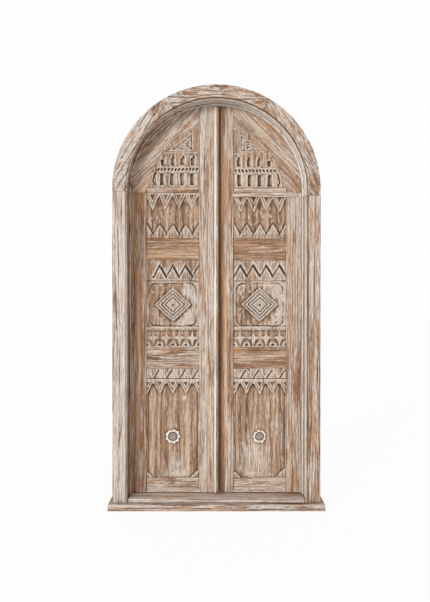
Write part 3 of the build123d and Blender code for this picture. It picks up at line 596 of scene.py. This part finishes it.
# For each panel: its carver, the recess of its ground, and the limewash left on it
carvers = {
    "lunette_panel": (carve_lunette, 6.5, -0.02),
    "frieze_panel": (carve_frieze, 12, -0.02),
    "middle_panel": (carve_middle, 10, 0.0),
    "lower_panel": (carve_lower, 12, 0.0),
}


# Meshes with the attributes that the wood's material reads
def add_object(name, data):
    piece = bpy.data.objects.new(name, data)
    bpy.context.scene.collection.objects.link(piece)
    return piece


def new_piece(name, vertices, faces):
    mesh = bpy.data.meshes.new(name)
    mesh.from_pydata(vertices, [], faces)
    mesh.update()
    return add_object(name, mesh)


def smooth(mesh, crease):
    """Smooth shading between faces that meet at less than crease degrees."""
    mesh.shade_smooth()
    mesh.set_sharp_from_angle(angle=math.radians(crease))


def points_of(mesh):
    points = np.empty(len(mesh.vertices) * 3, dtype=np.float32)
    mesh.vertices.foreach_get("co", points)
    return points.reshape(-1, 3)


def set_floats(mesh, name, values):
    attribute = mesh.attributes.new(name, "FLOAT", "POINT")
    attribute.data.foreach_set("value", np.asarray(values, dtype=np.float32))


def set_grain(mesh, name, direction, lime):
    """Coordinates along, across and through the grain, shifted for each board, and its limewash,
    which on some boards also carries painted light and shade.
    """
    rng = random.Random(name)
    places = points_of(mesh)
    along = np.array((direction[0], 0, direction[1]))
    along = along / np.linalg.norm(along)
    across = np.array((along[2], 0, -along[0]))
    middle = (places.max(axis=0) + places.min(axis=0)) / 2
    stretch = 1.0
    if name.startswith("arch_") and "board" not in name:
        stretch = 2.2
    elif direction == upright and "panel" not in name:
        stretch = 0.55
    grain = np.empty(places.shape, dtype=np.float32)
    grain[:, 0] = (places - middle) @ along * stretch + rng.uniform(-9, 9)
    grain[:, 1] = (places - middle) @ across + rng.uniform(-0.05, 0.05)
    grain[:, 2] = places[:, 1] - middle[1] + rng.uniform(0.03, 0.09) + rng.randint(0, 6)
    attribute = mesh.attributes.new("grain", "FLOAT_VECTOR", "POINT")
    attribute.data.foreach_set("vector", grain.ravel())
    set_floats(mesh, "lime", lime)


def set_material(piece, material):
    piece.data.materials.clear()
    piece.data.materials.append(material)


def finish_piece(piece, node, material):
    set_material(piece, material)
    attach(piece, body_of_node[node])
    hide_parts(node)


def edge_share(x, z, kind, axis):
    """How far the tongue runs out past this point of the panel's border, from 0 to 1."""
    low, high = spans[kind]
    if kind != "lunette_panel":
        if axis == "x":
            return 1.0 if x < panel_inner + 0.1 or x > panel_outer - 0.1 else 0.0
        return 1.0 if z < low + 0.1 or z > high - 0.1 else 0.0
    if axis == "x" and x < panel_inner + 0.5:
        return 1.0 if z < high - 12 else 0.0
    if axis == "z" and z < low + 0.1:
        return 1.0
    if z > low + 0.1 and x > panel_inner + 0.5:
        return 0.5 * abs(x if axis == "x" else z - arch_center) / rim_radius
    return 0.0


def make_relief(kind, name, material):
    """One carved panel: a fine front, a tongue round its edge and a flat back."""
    side = SIDES[name]
    node = kind + "_" + name
    low, high = spans[kind]
    rows = int((high - low) / cell) + 1
    columns = int((panel_outer - panel_inner) / cell) + 1
    heights = np.linspace(low, high, rows)
    reach = np.full(rows, panel_outer)
    if kind == "lunette_panel":
        columns = int((lunette_radius - panel_inner) / cell) + 1
        reach = np.sqrt(np.maximum(rim_radius**2 - (heights - arch_center) ** 2, 0))
        reach = np.maximum(reach, panel_inner + 0.4)
    share = np.linspace(0, 1, columns)
    across = panel_inner + (reach[:, None] - panel_inner) * share[None, :]
    height = np.repeat(heights[:, None], columns, axis=1)
    carve, ground, base_lime = carvers[kind]
    seed = 3 + 10 * list(carvers).index(kind) + (side > 0) * 5
    carving = Carving(across, height, ground, seed, side)
    carve(carving, name)
    recess = np.clip(carving.recess, shallowest, deepest)
    # Ridges of the carving, whitened in the material as limewash and a painted highlight
    proud = held((blurred(recess, 4) - recess) / 2.6)
    # Hollows of the carving, darkened in the material as painted shade
    painted_shade = np.clip((recess - blurred(recess, 5)) / 4.0, 0, 1.7)
    vertices = []
    for x, z, y in zip(across.ravel(), height.ravel(), recess.ravel()):
        vertices.append((side * x * MM, (leaf_front + y) * MM, z * MM))
    faces = []
    for row in range(rows - 1):
        for a in range(row * columns, row * columns + columns - 1):
            faces.append((a, a + 1, a + columns + 1, a + columns))
    border = list(range(columns))
    border += [row * columns + columns - 1 for row in range(1, rows)]
    border += [(rows - 1) * columns + column for column in range(columns - 2, -1, -1)]
    border += [row * columns for row in range(rows - 2, 0, -1)]
    loops = [border]
    middle = (low + high) / 2
    for depth, spread in ((tongue_front, False), (tongue_front, True), (panel_back, True)):
        loop = []
        for index in border:
            x, z = side * vertices[index][0] / MM, vertices[index][2] / MM
            if spread:
                x += math.copysign(tongue_length, x - center) * edge_share(x, z, kind, "x")
                z += math.copysign(tongue_length, z - middle) * edge_share(x, z, kind, "z")
            vertices.append((side * x * MM, depth * MM, z * MM))
            loop.append(len(vertices) - 1)
        loops.append(loop)
    for outer, inner in zip(loops, loops[1:]):
        for index in range(len(outer)):
            following = (index + 1) % len(outer)
            faces.append((outer[following], outer[index], inner[index], inner[following]))
    faces.append(tuple(loops[-1][::-1]))
    if side < 0:
        faces = [face[::-1] for face in faces]
    piece = new_piece(node + "_carved", vertices, faces)
    extra = np.zeros(len(vertices) - recess.size)
    set_floats(piece.data, "proud", np.concatenate([proud.ravel(), extra]))
    set_floats(piece.data, "painted_shade", np.concatenate([painted_shade.ravel(), extra]))
    lime = base_lime + np.concatenate([carving.lime.ravel(), extra])
    set_grain(piece.data, node, upright, lime)
    smooth(piece.data, 70)
    finish_piece(piece, node, material)


# Directions of the grain, as (X, Z)
upright = (0, 1)
level = (1, 0)
# Rounding of the arrises, wander of the faces and distance between their points, in metres
arris = 0.0032
wander = 0.0009
point_spacing = (0.045, 0.05, 0.045)
# Two faces that meet at more than this many radians have an arris between them
arris_angle = 0.45
# X of extra points on some boards, where limewash, painted highlight or painted shade ends within a
# few millimetres
extra_lines = {
    "meeting_stile_right": (24, 27, 31, 38, 46, 52),
    "meeting_bead_left": (-11, -7, -3, -1, 1, 6, 10),
    "post_left": (-496, -508, -514),
    "post_right": (497, 503),
}
# Distances from the arch's centre to the frame's moulding, in millimetres
chamfer_radius = 487
quirk_radius = 490.5
reveal_radius = 492


def split(mesh, point, normal):
    geometry = mesh.verts[:] + mesh.edges[:] + mesh.faces[:]
    bmesh.ops.bisect_plane(mesh, geom=geometry, plane_co=point, plane_no=normal, dist=1e-6)


def board_lime_and_painted_light(node, places, lime):
    """The limewash on each point of a board, with a painted highlight on lit places and painted
    shade on shaded ones, in grooves, and under and beside other parts.
    """
    x, y, z = places.T
    amount = np.full(len(places), lime)
    # Painted shade on each point of the board
    painted_board_shade = np.zeros(len(places))
    behind_face = held((y + 66) / 12)
    out = np.hypot(x, np.maximum(z - arch_center, 0))
    # 1 where the light falls into the opening, on its right side
    sunny = np.interp(x / np.maximum(out, 1), (-0.9, -0.5, 0, 0.3, 0.6), (0, 0.2, 0.45, 0.8, 1))
    if node.startswith(("post", "arch_left", "arch_right", "arch_crown")):
        # Painted highlight on the lit reveal and chamfer, painted shade on the shaded reveal and in
        # the quirk
        quirk = tent(out - quirk_radius, 2.5) * (y < -62) * (y > -70.6)
        chamfer = (y < -58) * (out < chamfer_radius)
        inward = behind_face * (out < reveal_radius) * held((85 - y) / 20)
        brightest = 0.36 if node.startswith("post") else 0.75
        amount += (brightest * sunny - 0.2 * (1 - sunny)) * inward + 0.4 * sunny * chamfer
        painted_board_shade += 0.1 * inward * held(1 - 2 * sunny) + 1.7 * quirk
    if node == "post_left":
        amount += 0.3 * (y < -67) * held((x + 513) / 6)
    # Painted highlight: more limewash on the stops where the light falls
    if node.startswith("stop"):
        amount += (0.6 if "arch" in node else 0.42) * sunny
    # Less limewash and painted shade on the threshold's top, and a painted shadow line at its foot
    # on the sill
    if node == "threshold":
        amount -= 0.14 * behind_face
        painted_board_shade += 0.08 * behind_face + 1.4 * held(1 - (z - z.min()) / 4)
    # Painted highlight along the sill's top front arris
    if node == "sill":
        amount += 0.14 * (y - y.min() < 11) * (z.max() - z < 11)
    # Painted shadow of the bead on the right meeting stile, beside the gap
    if node == "meeting_stile_right":
        amount -= 0.12 * held((48 - x) / 14)
        painted_board_shade += np.interp(x, (25, 28, 40, 52), (1.6, 0.75, 0.35, 0))
    # Painted highlight on the bead's lit left flank and painted shade on its right flank
    if node == "meeting_bead_left":
        to_right = held((x - 1) / 12)
        amount += 0.7 * held((-1 - x) / 3) - 0.08 * to_right
        painted_board_shade += 0.8 * to_right
    return amount, painted_board_shade


def dress_board(node, direction, lime, material):
    """A board with worn arrises and slightly wandering faces."""
    mesh = bmesh.new()
    mesh.from_mesh(nodes[node].data)
    bmesh.ops.remove_doubles(mesh, verts=mesh.verts, dist=1e-5)
    flat = math.radians(0.5)
    bmesh.ops.dissolve_limit(mesh, angle_limit=flat, verts=mesh.verts, edges=mesh.edges)
    worn = mesh.verts.layers.float.new("proud")
    joined = [edge for edge in mesh.edges if edge.is_manifold]
    sharp = [edge for edge in joined if edge.calc_face_angle(0) > arris_angle]
    convex = [edge for edge in sharp if edge.is_convex]
    made = bmesh.ops.bevel(
        mesh, geom=convex, offset=arris, segments=2, profile=0.5, affect="EDGES", clamp_overlap=True
    )
    # Rounded arrises, marked for the material, which whitens them as limewash and a painted
    # highlight
    rounded = set(made["faces"])
    for face in rounded:
        for vertex in face.verts:
            inner = all(other in rounded for other in vertex.link_faces)
            vertex[worn] = 1.0 if inner else 0.45
    low = [min(vertex.co[axis] for vertex in mesh.verts) for axis in range(3)]
    high = [max(vertex.co[axis] for vertex in mesh.verts) for axis in range(3)]
    for axis, spacing in enumerate(point_spacing):
        count = int((high[axis] - low[axis]) / spacing)
        normal = Vector([1 if axis == other else 0 for other in range(3)])
        for index in range(1, count + 1):
            place = low[axis] + (high[axis] - low[axis]) * index / (count + 1)
            split(mesh, normal * place, normal)
    for place in extra_lines.get(node, ()):
        split(mesh, (place * MM, 0, 0), (1, 0, 0))
    mesh.normal_update()
    shift = Vector((random.Random(node).uniform(0, 50), 0, 0))
    meeting = 0.5 * sum(meeting_edges.values()) * MM
    for vertex in mesh.verts:
        slow = noise.noise(vertex.co * 7 + shift)
        quick = noise.noise(vertex.co * 31 + shift)
        nick = max(0, noise.noise(vertex.co * 55 + shift) - 0.25) * vertex[worn]
        move = -wander * (0.9 + 0.7 * slow + 0.4 * quick) - 0.004 * nick
        edge = node.startswith("meeting_stile") and abs(vertex.co.x - meeting) < 4 * MM
        if edge and vertex.co.y > 0.08:
            vertex.co.x = meeting_edges[node.split("_")[-1]] * MM
        elif not edge:
            vertex.co += vertex.normal * move
    data = bpy.data.meshes.new(node + "_board")
    mesh.to_mesh(data)
    mesh.free()
    smooth(data, 50)
    amount, painted_board_shade = board_lime_and_painted_light(node, points_of(data) / MM, lime)
    set_floats(data, "painted_shade", painted_board_shade)
    set_grain(data, node, direction, amount)
    finish_piece(add_object(node + "_board", data), node, material)


# Materials
class Shader:
    """A short way to write the nodes of a material or of the world."""

    def __init__(self, owner):
        owner.use_nodes = True
        self.owner = owner
        self.tree = owner.node_tree
        self.tree.nodes.clear()

    def node(self, kind, inputs=(), **settings):
        """A new node with its settings, and its inputs by name or number."""
        node = self.tree.nodes.new(kind)
        for name, value in settings.items():
            setattr(node, name, value)
        for place, value in dict(inputs).items():
            if isinstance(value, bpy.types.NodeSocket):
                self.tree.links.new(value, node.inputs[place])
            else:
                node.inputs[place].default_value = value
        return node

    def finish(self, shown, kind="ShaderNodeOutputMaterial"):
        """End the nodes in an output and give back what they belong to."""
        self.node(kind, {0: shown.outputs[0]})
        return self.owner

    def attribute(self, name, output="Fac"):
        return self.node("ShaderNodeAttribute", attribute_name=name).outputs[output]

    def scaled(self, vector, scale, location=(0, 0, 0)):
        inputs = {"Vector": vector, "Scale": scale, "Location": location}
        return self.node("ShaderNodeMapping", inputs).outputs[0]

    def noise(self, vector, scale, detail, roughness=0.55, location=(0, 0, 0)):
        inputs = {"Vector": self.scaled(vector, scale, location), "Scale": 1}
        inputs.update({"Detail": detail, "Roughness": roughness})
        return self.node("ShaderNodeTexNoise", inputs).outputs[0]

    def shifted(self, vector, source, scale, reach):
        """The vector with a wandering shift of up to about reach."""
        inputs = {"Vector": self.scaled(source, scale), "Scale": 1, "Detail": 2}
        inputs = {0: self.node("ShaderNodeTexNoise", inputs).outputs["Color"], "Scale": reach}
        shift = self.node("ShaderNodeVectorMath", inputs, operation="SCALE").outputs[0]
        inputs = {0: vector, 1: shift}
        return self.node("ShaderNodeVectorMath", inputs, operation="ADD").outputs[0]

    def math(self, kind, first, second=0.0):
        return self.node("ShaderNodeMath", {0: first, 1: second}, operation=kind).outputs[0]

    def times(self, first, second):
        return self.math("MULTIPLY", first, second)

    def total(self, *parts):
        """Sum of values, each times its weight."""
        result = None
        for value, weight in parts:
            share = self.times(value, weight)
            result = share if result is None else self.math("ADD", result, share)
        return result

    def bands(self, vector, scale, distortion, detail_scale):
        inputs = {"Vector": vector, "Scale": scale, "Distortion": distortion, "Detail": 3}
        inputs["Detail Scale"] = detail_scale
        node = self.node("ShaderNodeTexWave", inputs, wave_type="BANDS", bands_direction="Y")
        return node.outputs["Fac"]

    def spread(self, value, low, high, to_low=0.0, to_high=1.0):
        """A smooth step from to_low to to_high as the value goes from low to high."""
        inputs = {"Value": value, "From Min": low, "From Max": high}
        inputs.update({"To Min": to_low, "To Max": to_high})
        return self.node("ShaderNodeMapRange", inputs, interpolation_type="SMOOTHSTEP").outputs[0]

    def mix(self, share, first, second):
        inputs = {"Factor": share, 6: first, 7: second}
        return self.node("ShaderNodeMix", inputs, data_type="RGBA", clamp_factor=True).outputs[2]

    def ramp(self, value, stops):
        node = self.node("ShaderNodeValToRGB", {0: value})
        elements = node.color_ramp.elements
        while len(elements) < len(stops):
            elements.new(0.5)
        for element, (place, color) in zip(elements, stops):
            element.position = place
            element.color = (*color, 1)
        return node.outputs[0]

    def broad_face(self):
        """1 on the fronts and backs of boards, and little on their edges."""
        normal = self.node("ShaderNodeTexCoord").outputs["Normal"]
        facing = self.node("ShaderNodeSeparateXYZ", {0: normal}).outputs["Y"]
        return self.spread(self.math("ABSOLUTE", facing), 0.3, 0.7, 0.1, 1.0)

    def moulding_shade_and_crown_line(self):
        """Painted shade in the quirk of the moulding along the frame's inner edge, and a dark line
        across the crown.
        """
        quirk_out, crown_line_radius = 0.4955, 0.512
        place = self.node("ShaderNodeTexCoord").outputs["Object"]
        x, y, z = self.node("ShaderNodeSeparateXYZ", {0: place}).outputs
        rise = self.math("MAXIMUM", self.math("SUBTRACT", z, arch_center * MM), 0)
        out = self.math("SQRT", self.math("ADD", self.times(x, x), self.times(rise, rise)))
        wander = self.times(self.noise(place, (14, 14, 14), 2), 0.006)
        out = self.math("ADD", out, wander)
        from_quirk = self.math("ABSOLUTE", self.math("SUBTRACT", out, quirk_out))
        quirk = self.spread(from_quirk, 0.0065, 0.002, 0, 0.85)
        quirk = self.times(quirk, self.spread(y, -0.06, -0.066))
        quirk = self.times(quirk, self.spread(x, -0.42, -0.25, 0.15, 1))
        quirk = self.times(quirk, self.spread(x, 0.49, 0.42, 0.5, 1))
        quirk = self.times(quirk, self.spread(z, 0.045, 0.055))
        off_crown_line = self.math("ABSOLUTE", self.math("SUBTRACT", out, crown_line_radius))
        crown_dark_line = self.spread(off_crown_line, 0.0045, 0.001, 0, 0.65)
        ends = self.times(self.spread(x, 0.12, 0.03), self.spread(x, -0.24, -0.12))
        return self.math("MAXIMUM", quirk, self.times(crown_dark_line, ends))

    def bump(self, height, strength, distance):
        inputs = {"Height": height, "Strength": strength, "Distance": distance}
        return self.node("ShaderNodeBump", inputs).outputs[0]


# Place on the ramp and colour of the bare wood, from its darkest figure to its lightest
browns = (
    (0.38, 0.112, 0.054, 0.028),
    (0.46, 0.242, 0.126, 0.067),
    (0.52, 0.39, 0.228, 0.135),
    (0.6, 0.56, 0.392, 0.266),
)
thick_lime = (0.9, 0.86, 0.8, 1)
pore_color = (0.085, 0.045, 0.026, 1)
# Colours of the painted shade in hollows and in the deepest hollows
painted_hollow_shade_color = (0.07, 0.038, 0.022, 1)
painted_deep_shade_color = (0.035, 0.02, 0.013, 1)
# Colour of the painted shade in the frame's quirk and of the dark line on the crown
quirk_shade_and_crown_line_color = (0.1, 0.055, 0.032, 1)


def teak(name, lime_color, lime_shade, softness, redness, cracked, open_grain=0.0):
    """Old teak: brown figure, dark open grain, and limewash in streaks and on the arrises.

    The meshes bring the attributes grain (place in the board), lime (how much is left on it, from
    -0.3 where the wood is bare to 0.8 where it is thick; on some boards it is also raised as a
    painted highlight on lit places and lowered as painted shade on shaded ones), proud (arrises and
    ridges, whitened as limewash and a painted highlight) and the painted shade (shade painted into
    hollows, shaded faces, and places under and beside other parts). Softness is how gradually the
    limewash ends; cracked and open_grain are how much of the dark figure and of the pores shows.
    """
    s = Shader(bpy.data.materials.new(name))
    grain = s.attribute("grain", "Vector")
    proud = s.attribute("proud")
    painted_shade = s.attribute("painted_shade")
    limewash_and_painted_light = s.attribute("lime")
    bent = s.shifted(grain, grain, (2.6, 6, 6), 0.02)
    bent = s.shifted(bent, grain, (14, 22, 22), 0.005)
    broad = s.noise(bent, (1.7, 24, 24), 3, 0.6)
    streak = s.noise(bent, (6.5, 160, 160), 5, 0.68)
    other = s.noise(bent, (8.5, 150, 150), 5, 0.7, (7, 3, 5))
    fleck = s.noise(bent, (38, 330, 330), 3, 0.66, (1, 9, 4))
    patch = s.noise(grain, (4.5, 17, 17), 4, 0.62, (3, 1, 2))
    figure = s.bands(s.scaled(bent, (0.16, 1, 1)), 9.5, 7, 0.5)
    value = s.total((broad, 0.4), (streak, 0.36), (fleck, 0.18), (figure, 0.07))
    stops = []
    for place, red, green, blue in browns:
        stops.append((place, (red, green / redness, blue / redness**2)))
    wood = s.ramp(value, stops)
    # Arrises and ridges get more limewash, partly a painted highlight
    edge = s.times(proud, s.spread(patch, 0.35, 0.55, 0.35, 1.0))
    # Limewash cover, with painted light and shade from the lime attribute; painted shade takes some
    # away
    amount = s.total(
        (other, 0.6), (fleck, 0.22), (patch, 0.18), (edge, 0.21), (painted_shade, -0.09), (limewash_and_painted_light, 0.75)
    )
    half_covered = 0.545
    cover = s.spread(amount, half_covered - softness, half_covered + softness)
    cover = s.times(cover, s.spread(streak, 0.38, 0.55, 0.6, 0.95))
    lime = s.mix(s.spread(fleck, 0.38, 0.62), (*lime_shade, 1), (*lime_color, 1))
    lime = s.mix(s.spread(limewash_and_painted_light, 0.3, 0.65), lime, thick_lime)
    color = s.mix(cover, wood, lime)
    cracks = s.times(s.spread(figure, 0.84, 1.0), s.spread(patch, 0.42, 0.54, 0, cracked))
    cracks = s.times(cracks, s.spread(limewash_and_painted_light, 0.35, 0.1))
    cracks = s.times(cracks, s.broad_face())
    pores = s.math("MAXIMUM", cracks, s.spread(streak, 0.4 + open_grain, 0.31 + open_grain))
    pores = s.math("MAXIMUM", pores, s.spread(other, 0.39, 0.3))
    color = s.mix(s.times(pores, 0.62), color, pore_color)
    # Painted shade: hollows and shaded places darken towards dark brown
    color = s.mix(s.spread(painted_shade, 0.3, 1.0, 0.0, 0.62), color, painted_hollow_shade_color)
    color = s.mix(s.spread(painted_shade, 1.3, 1.7, 0.0, 0.8), color, painted_deep_shade_color)
    # The frame also gets painted shade in its quirk and a dark line on the crown
    if name.startswith("frame"):
        color = s.mix(s.moulding_shade_and_crown_line(), color, quirk_shade_and_crown_line_color)
    inputs = {
        "Base Color": color,
        "Roughness": s.spread(cover, 0, 1, 0.66, 0.88),
        "Specular IOR Level": 0.25,
        "Normal": s.bump(s.total((streak, 0.5), (fleck, 0.5), (pores, -0.35)), 0.6, 0.0025),
    }
    return s.finish(s.node("ShaderNodeBsdfPrincipled", inputs))


def iron(name):
    """Old dark iron with patches of rust."""
    dark, worn, rusty = (0.035, 0.032, 0.03, 1), (0.085, 0.075, 0.066, 1), (0.13, 0.055, 0.025, 1)
    s = Shader(bpy.data.materials.new(name))
    place = s.node("ShaderNodeTexCoord").outputs["Object"]
    spots = s.noise(place, (60, 60, 60), 5, 0.6)
    rust = s.noise(place, (22, 22, 22), 4, 0.6)
    color = s.mix(s.spread(spots, 0.4, 0.62), dark, worn)
    color = s.mix(s.spread(rust, 0.52, 0.7, 0, 0.7), color, rusty)
    inputs = {
        "Base Color": color,
        "Metallic": 0.6,
        "Roughness": s.spread(spots, 0.3, 0.7, 0.45, 0.75),
        "Normal": s.bump(spots, 0.4, 0.001),
    }
    return s.finish(s.node("ShaderNodeBsdfPrincipled", inputs))


def pale_floor(name):
    """Shows nearly white to the camera and keeps the shadow."""
    s = Shader(bpy.data.materials.new(name))
    inputs = {"Base Color": (0.8, 0.8, 0.8, 1), "Roughness": 1, "Specular IOR Level": 0}
    dull = s.node("ShaderNodeBsdfPrincipled", inputs)
    glow = s.node("ShaderNodeEmission", {"Color": (1, 1, 1, 1)})
    rays = s.node("ShaderNodeLightPath").outputs
    seen = s.math("MAXIMUM", rays["Is Camera Ray"], rays["Is Glossy Ray"])
    seen = s.math("MAXIMUM", seen, rays["Is Transmission Ray"])
    inputs = {0: s.times(seen, 0.94), 1: dull.outputs[0], 2: glow.outputs[0]}
    return s.finish(s.node("ShaderNodeMixShader", inputs))


frame_wood = teak(
    "frame_teak_limed", (0.74, 0.69, 0.65), (0.53, 0.465, 0.41), 0.05, 0.97, 1.3, open_grain=0.03
)
leaf_wood = teak("leaf_teak_limed", (0.74, 0.67, 0.6), (0.55, 0.45, 0.37), 0.075, 1.03, 0.9)
panel_wood = teak("panel_teak_limed", (0.75, 0.685, 0.625), (0.53, 0.45, 0.38), 0.07, 0.93, 0.4)
hinge_iron = iron("old_iron")

# Boards: the direction of the grain, and the limewash left on it, which on some also paints light
# and shade
boards = {
    "sill": (level, -0.12),
    "threshold": (level, 0.13),
    "arch_crown": ((1, -0.03), -0.04),
    "arch_left": ((0.515, 0.857), 0.02),
    "arch_right": ((0.492, -0.87), -0.03),
    # The right stops get more limewash than the left ones: painted light where the light falls on
    # them
    "stop_arch_crown": ((1, -0.03), -0.05),
    "stop_arch_left": ((0.515, 0.857), -0.06),
    "stop_arch_right": ((0.492, -0.87), 0.0),
    "stop_left": (upright, -0.06),
    "stop_right": (upright, 0.03),
    "post_left": (upright, 0.04),
    "post_right": (upright, -0.06),
    "meeting_bead_left": (upright, -0.06),
    "spring_batten_right": (level, -0.02),
    "meeting_stile_left": (upright, 0.0),
    "meeting_stile_right": (upright, -0.06),
    # Less limewash on the left outer stile: painted shade where the left jamb shades it
    "outer_stile_left": (upright, -0.11),
    "outer_stile_right": (upright, -0.03),
}
for name, side in SIDES.items():
    boards[f"bottom_rail_{name}"] = (level, 0.02)
    boards[f"lock_rail_{name}"] = (level, -0.08 - 0.03 * side)
    boards[f"mid_rail_{name}"] = (level, -0.14)
    boards[f"spring_rail_{name}"] = (level, -0.03)
    # The left leaf's arch boards get more limewash than the right leaf's: painted light that lifts
    # the arch's shadow
    for place, lime, lean in (
        ("inner", -0.055, 0.015),
        ("middle", -0.005, 0.015),
        ("outer", -0.035, 0.025),
    ):
        boards[f"arch_board_{place}_{name}"] = ((1, -side), lime - lean * side)
for node, (direction, lime) in boards.items():
    wood = frame_wood if slot_of_node[node] == "frame_teak" else leaf_wood
    dress_board(node, direction, lime, wood)

for name in SIDES:
    for kind in carvers:
        make_relief(kind, name, panel_wood)

for node, piece in nodes.items():
    if node.startswith("hinge"):
        set_material(piece, hinge_iron)
set_material(nodes["arch_keys"], frame_wood)

# The floor, the sky, the sun and the place that the door is seen from
reach = 30
corners = [(-reach, -reach, 0), (reach, -reach, 0), (reach, reach, 0), (-reach, reach, 0)]
floor = new_piece("floor", corners, [(0, 1, 2, 3)])
floor.data.materials.append(pale_floor("pale_floor"))

world = bpy.data.worlds.new("world")
bpy.context.scene.world = world
s = Shader(world)
sky = s.node("ShaderNodeBackground", {"Color": (1, 0.955, 0.905, 1), "Strength": 0.79})
backdrop = s.node("ShaderNodeBackground", {"Color": (1, 1, 1, 1), "Strength": 0.985})
seen = s.node("ShaderNodeLightPath").outputs["Is Camera Ray"]
inputs = {0: seen, 1: sky.outputs[0], 2: backdrop.outputs[0]}
s.finish(s.node("ShaderNodeMixShader", inputs), "ShaderNodeOutputWorld")

sun = bpy.data.lights.new("key", "SUN")
sun.energy = 1.6
sun.color = (0.975, 0.988, 1)
sun.angle = math.radians(20)
sun_direction = Vector((0.52, 1.0, -0.25))
add_object("key", sun).rotation_euler = sun_direction.to_track_quat("-Z", "Y").to_euler()

# The focal length and the picture's width are in pixels, the sensor's width in millimetres
focal_length, picture_width, sensor_width = 769.4, 430, 36
tilt = 0.508
lens = bpy.data.cameras.new("camera")
camera = add_object("camera", lens)
camera.location = (-0.0076, -4.23, 1.166)
camera.rotation_euler = (math.radians(90 - tilt), 0, 0)
lens.sensor_fit = "HORIZONTAL"
lens.sensor_width = sensor_width
lens.lens = focal_length / picture_width * sensor_width
bpy.context.scene.camera = camera
bpy.context.scene.view_settings.view_transform = "Standard"
